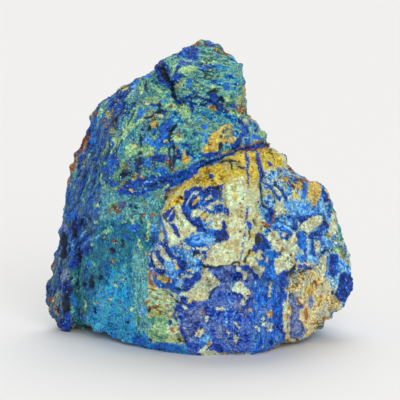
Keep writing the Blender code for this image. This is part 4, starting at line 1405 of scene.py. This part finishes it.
def fill_ramp(node, colours):
    """Spreads the colours evenly over a ramp."""
    elements = node.color_ramp.elements
    for place in range(len(colours) - 2):
        elements.new((place + 1) / (len(colours) - 1))
    for place, (element, colour) in enumerate(zip(elements, colours)):
        element.position = place / (len(colours) - 1)
        element.color = colour


def new_material(name):
    material = bpy.data.materials.new(name)
    material.use_nodes = True
    material.node_tree.nodes.clear()
    return material, material.node_tree


def finish_material(tree, colour, roughness, normal, specular=0.3, ior=1.6):
    shader = add_node(
        tree, "ShaderNodeBsdfPrincipled", {"Base Color": colour, "Roughness": roughness, "Normal": normal}
    )
    shader.inputs["IOR"].default_value = ior
    shader.inputs["Specular IOR Level"].default_value = specular
    add_node(tree, "ShaderNodeOutputMaterial", {"Surface": shader.outputs["BSDF"]})


def rock_patterns(tree, place):
    """For each streak, where a ramp is read, and the shade of one grain and of the gap round it."""
    patchy = add_node(tree, "ShaderNodeAttribute", attribute_name="patchy").outputs["Fac"]
    values, grains = {}, {}
    for kind, (lean, sizes, _) in STREAKS.items():
        turned = add_node(
            tree, "ShaderNodeMapping", {
                "Vector": place,
                "Rotation": [math.radians(a) for a in lean],
                "Scale": [s * MM for s in sizes],
            }, vector_type="TEXTURE",
        ).outputs["Vector"]
        pattern = add_node(
            tree, "ShaderNodeTexNoise", {"Vector": turned, "Scale": 1.0, "Detail": 5.0, "Roughness": 0.62}
        )
        bent = add_node(
            tree, "ShaderNodeVectorMath", {0: pattern.outputs["Color"], 1: [BENT] * 3, 2: turned},
            operation="MULTIPLY_ADD",
        ).outputs["Vector"]
        cells = add_node(tree, "ShaderNodeTexVoronoi", {"Vector": bent, "Scale": GRAINS_A_STREAK})
        value = add_node(
            tree, "ShaderNodeMapRange", {"Value": pattern.outputs["Fac"], **ends(STREAK_NOISE)}, clamp=False
        ).outputs["Result"]
        value = add_node(
            tree, "ShaderNodeMath", {0: patchy, 1: PATCH_REACH, 2: value}, operation="MULTIPLY_ADD"
        ).outputs["Value"]
        single = add_node(tree, "ShaderNodeSeparateColor", {"Color": cells.outputs["Color"]}).outputs["Red"]
        values[kind] = add_node(
            tree, "ShaderNodeMath", {0: single, 1: GRAIN_REACH, 2: value}, operation="MULTIPLY_ADD"
        ).outputs["Value"]
        grains[kind] = (single, cells.outputs["Distance"])
    return values, grains


def ground_colour(tree, values):
    """The rock faces' own colours, mixed by their shares."""
    colour = None
    for name, (kind, _, codes, _, _) in GROUNDS.items():
        ramp = add_node(tree, "ShaderNodeValToRGB", {"Fac": values[kind]})
        fill_ramp(ramp, [linear(code) for code in codes.split()])
        if colour is None:
            colour = ramp.outputs["Color"]
            continue
        share = add_node(tree, "ShaderNodeAttribute", attribute_name="face_" + name).outputs["Fac"]
        colour = add_node(
            tree, "ShaderNodeMix", {0: share, 6: colour, 7: ramp.outputs["Color"]}, data_type="RGBA"
        ).outputs[2]
    return colour


def mineral_colours(tree, colour, tear, tone, palette):
    """Veins and crusts over the rock faces, each with a torn border. Some of the marks are painted shade,
    and the glint marks painted highlights, in a mineral's colour.
    """
    for mineral, (deep, pale) in palette.items():
        depth = add_node(tree, "ShaderNodeAttribute", attribute_name="mineral_" + mineral).outputs["Fac"]
        torn = add_node(tree, "ShaderNodeMath", {0: depth, 1: tear}, operation="ADD").outputs["Value"]
        share = add_node(
            tree, "ShaderNodeMapRange", {"Value": torn, **ends(BORDER_DEPTH)}
        ).outputs["Result"]
        mixed = add_node(tree, "ShaderNodeMix", {0: tone, 6: deep, 7: pale}, data_type="RGBA").outputs[2]
        colour = add_node(
            tree, "ShaderNodeMix", {0: share, 6: colour, 7: mixed}, data_type="RGBA"
        ).outputs[2]
    return colour


def rock_colour(tree, values, single, grit, crumbs, palette):
    """The rock faces and the minerals over them."""
    patchy = add_node(tree, "ShaderNodeAttribute", attribute_name="patchy").outputs["Fac"]
    tear = TEAR_START
    for pattern, weight in ((single, GRAIN_TEAR), (grit, GRIT_TEAR)):
        tear = add_node(
            tree, "ShaderNodeMath", {0: pattern, 1: weight, 2: tear}, operation="MULTIPLY_ADD"
        ).outputs["Value"]
    tone = TONE_START
    for pattern, weight in ((crumbs, CRUMB_TONE), (patchy, PATCH_TONE), (single, GRAIN_TONE)):
        tone = add_node(
            tree, "ShaderNodeMath", {0: pattern, 1: weight, 2: tone}, operation="MULTIPLY_ADD",
            use_clamp=pattern is single,
        ).outputs["Value"]
    return mineral_colours(tree, ground_colour(tree, values), tear, tone, palette)


def rock_light(tree, single, gap, grit, blueness, gaps):
    """How bright each place is: random speckles, painted shade in gaps, hollows and cracks, painted light
    on raised parts, and painted glints.
    """
    # Painted shade in the hollows of the relief and painted light on its raised parts.
    height = add_node(tree, "ShaderNodeAttribute", attribute_name="height").outputs["Fac"]
    light = add_node(
        tree, "ShaderNodeMapRange", {"Value": height, **ends(RELIEF_SHADE_AND_LIGHT)}
    ).outputs["Result"]
    speckle = add_node(
        tree, "ShaderNodeMapRange", {"Value": blueness, **ends(BLUE_SPECKLE)}
    ).outputs["Result"]
    centred = add_node(tree, "ShaderNodeMath", {0: grit, 1: -0.5}, operation="ADD").outputs["Value"]
    # Random speckles, then painted shade in the gaps between grains, deepest on blue azurite.
    for pattern, weight in ((centred, speckle), (gap, gaps)):
        light = add_node(
            tree, "ShaderNodeMath", {0: pattern, 1: weight, 2: light}, operation="MULTIPLY_ADD"
        ).outputs["Value"]
    # Painted glints on single grains.
    glint = add_node(tree, "ShaderNodeMapRange", {"Value": single, **ends(GLINT)}).outputs["Result"]
    light = add_node(tree, "ShaderNodeMath", {0: light, 1: glint}, operation="ADD").outputs["Value"]
    # Painted shade in the cracks.
    crack = add_node(tree, "ShaderNodeAttribute", attribute_name="crack").outputs["Fac"]
    light = add_node(
        tree, "ShaderNodeMath", {0: crack, 1: CRACK_SHADE, 2: light}, operation="MULTIPLY_ADD"
    ).outputs["Value"]
    return add_node(
        tree, "ShaderNodeMath", {0: light, 1: LEAST_LIGHT}, operation="MAXIMUM"
    ).outputs["Value"]


def stone_material(palette):
    """Azurite and malachite crusts with clay and limonite, grown in a seam and left as found.

    Azurite grew as crystals too small to see singly, so it is deep blue with a dull glitter, partly gloss
    and partly painted glints.
    Malachite and clay are earthy and rough. Painted shade darkens the cracks, the hollows and the gaps
    between grains, and painted light brightens the raised parts.
    """
    material, tree = new_material("Rough azurite with malachite and clay")
    place = add_node(tree, "ShaderNodeTexCoord").outputs["Object"]
    values, grains = rock_patterns(tree, place)
    single, gap = grains["mottled"]
    grit, crumbs = (
        add_node(
            tree, "ShaderNodeTexNoise",
            {"Vector": place, "Scale": 1 / (size * MM), "Detail": 3.0, "Roughness": roughness},
        ).outputs["Fac"]
        for size, roughness in ((GRIT, 0.7), (CRUMB, 0.6))
    )
    colour = rock_colour(tree, values, single, grit, crumbs, palette)
    parts = add_node(tree, "ShaderNodeSeparateColor", {"Color": colour}).outputs
    blueness = add_node(
        tree, "ShaderNodeMath", {0: parts["Blue"], 1: parts["Red"]}, operation="SUBTRACT"
    ).outputs["Value"]
    gaps = add_node(tree, "ShaderNodeMapRange", {"Value": blueness, **ends(BLUE_GAP_DEPTH_AND_SHADE)}).outputs["Result"]
    light = rock_light(tree, single, gap, grit, blueness, gaps)
    lit = add_node(
        tree, "ShaderNodeHueSaturation", {"Color": colour, "Saturation": COLOUR_STRENGTH, "Value": light}
    ).outputs["Color"]
    gloss = add_node(tree, "ShaderNodeMapRange", {"Value": blueness, **ends(BLUE_GLOSS)}).outputs["Result"]
    rise = add_node(
        tree, "ShaderNodeMath", {0: gap, 1: gaps, 2: grit}, operation="MULTIPLY_ADD"
    ).outputs["Value"]
    bump = add_node(tree, "ShaderNodeBump", {"Height": rise, "Strength": 0.9, "Distance": BUMP * MM})
    finish_material(tree, lit, gloss, bump.outputs["Normal"])
    return material


def grain_material(name, codes, roughness):
    """Single crystals and crumbs that broke loose, each with its own depth of colour.

    Azurite has bright cleavage faces, malachite is waxy and clay is dull.
    """
    material, tree = new_material(name.replace("_", " ").capitalize())
    tint = add_node(tree, "ShaderNodeAttribute", attribute_name="tint").outputs["Fac"]
    place = add_node(tree, "ShaderNodeTexCoord").outputs["Object"]
    grit = add_node(
        tree, "ShaderNodeTexNoise", {"Vector": place, "Scale": 1 / (FINE_GRIT * MM), "Detail": 2.0}
    ).outputs["Fac"]
    shade = add_node(
        tree, "ShaderNodeMath", {0: grit, 1: 0.6, 2: -0.3}, operation="MULTIPLY_ADD"
    ).outputs["Value"]
    shade = add_node(tree, "ShaderNodeMath", {0: shade, 1: tint}, operation="ADD").outputs["Value"]
    ramp = add_node(tree, "ShaderNodeValToRGB", {"Fac": shade})
    fill_ramp(ramp, [linear(code) for code in codes.split()])
    bump = add_node(tree, "ShaderNodeBump", {"Height": grit, "Strength": 0.3, "Distance": FINE_BUMP * MM})
    finish_material(tree, ramp.outputs["Color"], roughness, bump.outputs["Normal"])
    return material


def floor_material(code):
    """Matt painted board: sprayed flat, so it takes soft shadows and no shine."""
    material, tree = new_material("Matt painted board")
    place = add_node(tree, "ShaderNodeTexCoord").outputs["Object"]
    fibres = add_node(tree, "ShaderNodeTexNoise", {"Vector": place, "Scale": 1 / (2 * MM), "Detail": 3.0})
    bump = add_node(
        tree, "ShaderNodeBump", {"Height": fibres.outputs["Fac"], "Strength": 0.1, "Distance": 0.02 * MM}
    )
    finish_material(tree, linear(code), 0.95, bump.outputs["Normal"], 0.1, 1.5)
    return material


# Settings

def colour_setting(mineral, tone, code):
    """A colour that a user can change."""
    return bpy.props.FloatVectorProperty(
        name=f"{mineral.capitalize()}, {tone}", description=f"The {tone} colour of the {mineral} mineral",
        subtype="COLOR", size=4, min=0, max=1, default=linear(code),
    )


class AzuriteStoneSettings(bpy.types.PropertyGroup):
    cell: bpy.props.FloatProperty(
        name="Cell", description="Size of one face of the stone's net at the back",
        default=0.75 * MM, min=0.4 * MM, max=3 * MM, subtype="DISTANCE", unit="LENGTH",
    )
    roughness: bpy.props.FloatProperty(
        name="Roughness", description="Height of the broken rock's relief",
        default=0.3 * MM, min=0, max=1 * MM, subtype="DISTANCE", unit="LENGTH",
    )


class AzuriteColourSettings(bpy.types.PropertyGroup):
    __annotations__ = {
        f"{mineral}_{tone}": colour_setting(mineral, tone, codes[place])
        for mineral, codes in MINERALS.items()
        for place, tone in enumerate(("deep", "pale"))
    }


class AzuriteGrainSettings(bpy.types.PropertyGroup):
    amount: bpy.props.FloatProperty(
        name="Amount", description="Share of the grains that are laid",
        default=1.0, min=0.01, max=1, subtype="FACTOR",
    )
    scale: bpy.props.FloatProperty(
        name="Scale", description="Size of the grains against the real ones",
        default=1.0, min=0.2, max=3,
    )


class AzuriteStageSettings(bpy.types.PropertyGroup):
    sun: bpy.props.FloatProperty(
        name="Front light", description="Strength of the wide light from the front",
        default=1.5, min=0, max=20,
    )
    top: bpy.props.FloatProperty(
        name="Top light", description="Strength of the wide light from above and behind",
        default=1.5, min=0, max=20,
    )
    sky: bpy.props.FloatProperty(
        name="Fill", description="Strength of the light from all round", default=0.42, min=0, max=5,
    )
    floor: bpy.props.FloatProperty(
        name="Floor radius", description="Reach of the floor from the stone",
        default=4.0, min=0.5, max=20, subtype="DISTANCE", unit="LENGTH",
    )


# Stage

# Each light's tilt to the front and turn to the right, and the width of both, in degrees.
FRONT_LIGHT = (62, 15)
TOP_LIGHT = (-28, -4)
LIGHT_WIDTH = 50
FILL_COLOUR = (1, 0.98, 0.95, 1)
BOARD_COLOUR = "ebebeb"

# The camera's lens and sensor in millimetres, and how far it sees in metres.
LENS = 200
SENSOR = 36
SIGHT = 100


def lay_floor(radius):
    bm = bmesh.new()
    bmesh.ops.create_circle(bm, cap_ends=True, segments=96, radius=radius)
    mesh = bpy.data.meshes.new("floor")
    bm.to_mesh(mesh)
    bm.free()
    mesh.materials.append(floor_material(BOARD_COLOUR))
    new_object("floor", mesh)


def hang_light(name, strength, tilt, turn):
    """A wide soft light, tilted to the front and turned to the right."""
    light = bpy.data.lights.new(name, "SUN")
    light.energy = strength
    light.angle = math.radians(LIGHT_WIDTH)
    lamp = new_object(name, light)
    lamp.rotation_euler = Euler((math.radians(tilt), 0, math.radians(turn)))


def fill_light(scene, strength):
    world = bpy.data.worlds.new("studio_fill")
    world.use_nodes = True
    world.node_tree.nodes["Background"].inputs["Color"].default_value = FILL_COLOUR
    world.node_tree.nodes["Background"].inputs["Strength"].default_value = strength
    scene.world = world
    scene.view_settings.view_transform = "Standard"


def place_camera(scene):
    data = bpy.data.cameras.new("camera")
    data.lens = LENS
    data.sensor_width = SENSOR
    data.clip_end = SIGHT
    camera = new_object("camera", data)
    camera.location = (VIEW_AIM + VIEW_BACK * VIEW_DISTANCE) * MM
    camera.rotation_euler = Vector(-VIEW_BACK).to_track_quat("-Z", "Y").to_euler()
    scene.camera = camera


# Pieces

class AZURITE_OT_carve_stone(bpy.types.Operator):
    """Build the stone with its mineral colours"""
    bl_idname = "azurite.carve_stone"
    bl_label = "Carve the stone"

    def execute(self, context):
        scene = context.scene
        settings, colours = scene.azurite_stone, scene.azurite_colours
        mesh = dressed_mesh(settings.cell, settings.roughness / MM)
        palette = {
            mineral: (getattr(colours, mineral + "_deep"), getattr(colours, mineral + "_pale"))
            for mineral in MINERALS
        }
        mesh.materials.clear()
        mesh.materials.append(stone_material(palette))
        stone = new_object("azurite_stone", mesh)
        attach(stone, "root")
        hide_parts(STONE_NODE)
        return {"FINISHED"}


class AZURITE_OT_scatter_grains(bpy.types.Operator):
    """Scatter azurite crystals, malachite grains and clay crumbs over the stone"""
    bl_idname = "azurite.scatter_grains"
    bl_label = "Scatter the grains"

    def execute(self, context):
        settings = context.scene.azurite_grains
        stone = bpy.data.objects["azurite_stone"].data
        rng = np.random.default_rng(GRAIN_SEED)
        for name, (count, sizes, stretch, codes, roughness, homes) in GRAINS.items():
            mesh = grain_row(max(1, round(count * settings.amount)))
            sizes = [size * settings.scale for size in sizes]
            scatter(mesh, stone, sizes, stretch, homes.split(), rng)
            mesh.materials.clear()
            mesh.materials.append(grain_material(name, codes, roughness))
            piece = new_object(name, mesh)
            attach(piece, "root")
        return {"FINISHED"}


class AZURITE_OT_set_stage(bpy.types.Operator):
    """Build the floor, the light and the camera"""
    bl_idname = "azurite.set_stage"
    bl_label = "Set the stage"

    def execute(self, context):
        settings = context.scene.azurite_stage
        lay_floor(settings.floor)
        hang_light("front_light", settings.sun, *FRONT_LIGHT)
        hang_light("top_light", settings.top, *TOP_LIGHT)
        fill_light(context.scene, settings.sky)
        place_camera(context.scene)
        return {"FINISHED"}


class AZURITE_PT_specimen(bpy.types.Panel):
    bl_label = "Azurite specimen"
    bl_space_type = "VIEW_3D"
    bl_region_type = "UI"
    bl_category = "Azurite"

    def draw(self, context):
        scene = context.scene
        for settings in (getattr(scene, name) for name in SETTINGS):
            for name in settings.bl_rna.properties.keys():
                if name not in ("rna_type", "name"):
                    self.layout.prop(settings, name)
        for piece in PIECES:
            self.layout.operator(piece.bl_idname)


PIECES = (AZURITE_OT_carve_stone, AZURITE_OT_scatter_grains, AZURITE_OT_set_stage)
SETTINGS = {
    "azurite_stone": AzuriteStoneSettings,
    "azurite_colours": AzuriteColourSettings,
    "azurite_grains": AzuriteGrainSettings,
    "azurite_stage": AzuriteStageSettings,
}


def register():
    for name, group in SETTINGS.items():
        bpy.utils.register_class(group)
        setattr(bpy.types.Scene, name, bpy.props.PointerProperty(type=group))
    for cls in (*PIECES, AZURITE_PT_specimen):
        bpy.utils.register_class(cls)


def unregister():
    for cls in (AZURITE_PT_specimen, *reversed(PIECES)):
        bpy.utils.unregister_class(cls)
    for name, group in SETTINGS.items():
        delattr(bpy.types.Scene, name)
        bpy.utils.unregister_class(group)


def main():
    register()
    bpy.ops.azurite.carve_stone()
    bpy.ops.azurite.scatter_grains()
    bpy.ops.azurite.set_stage()


if __name__ == "__main__":
    main()
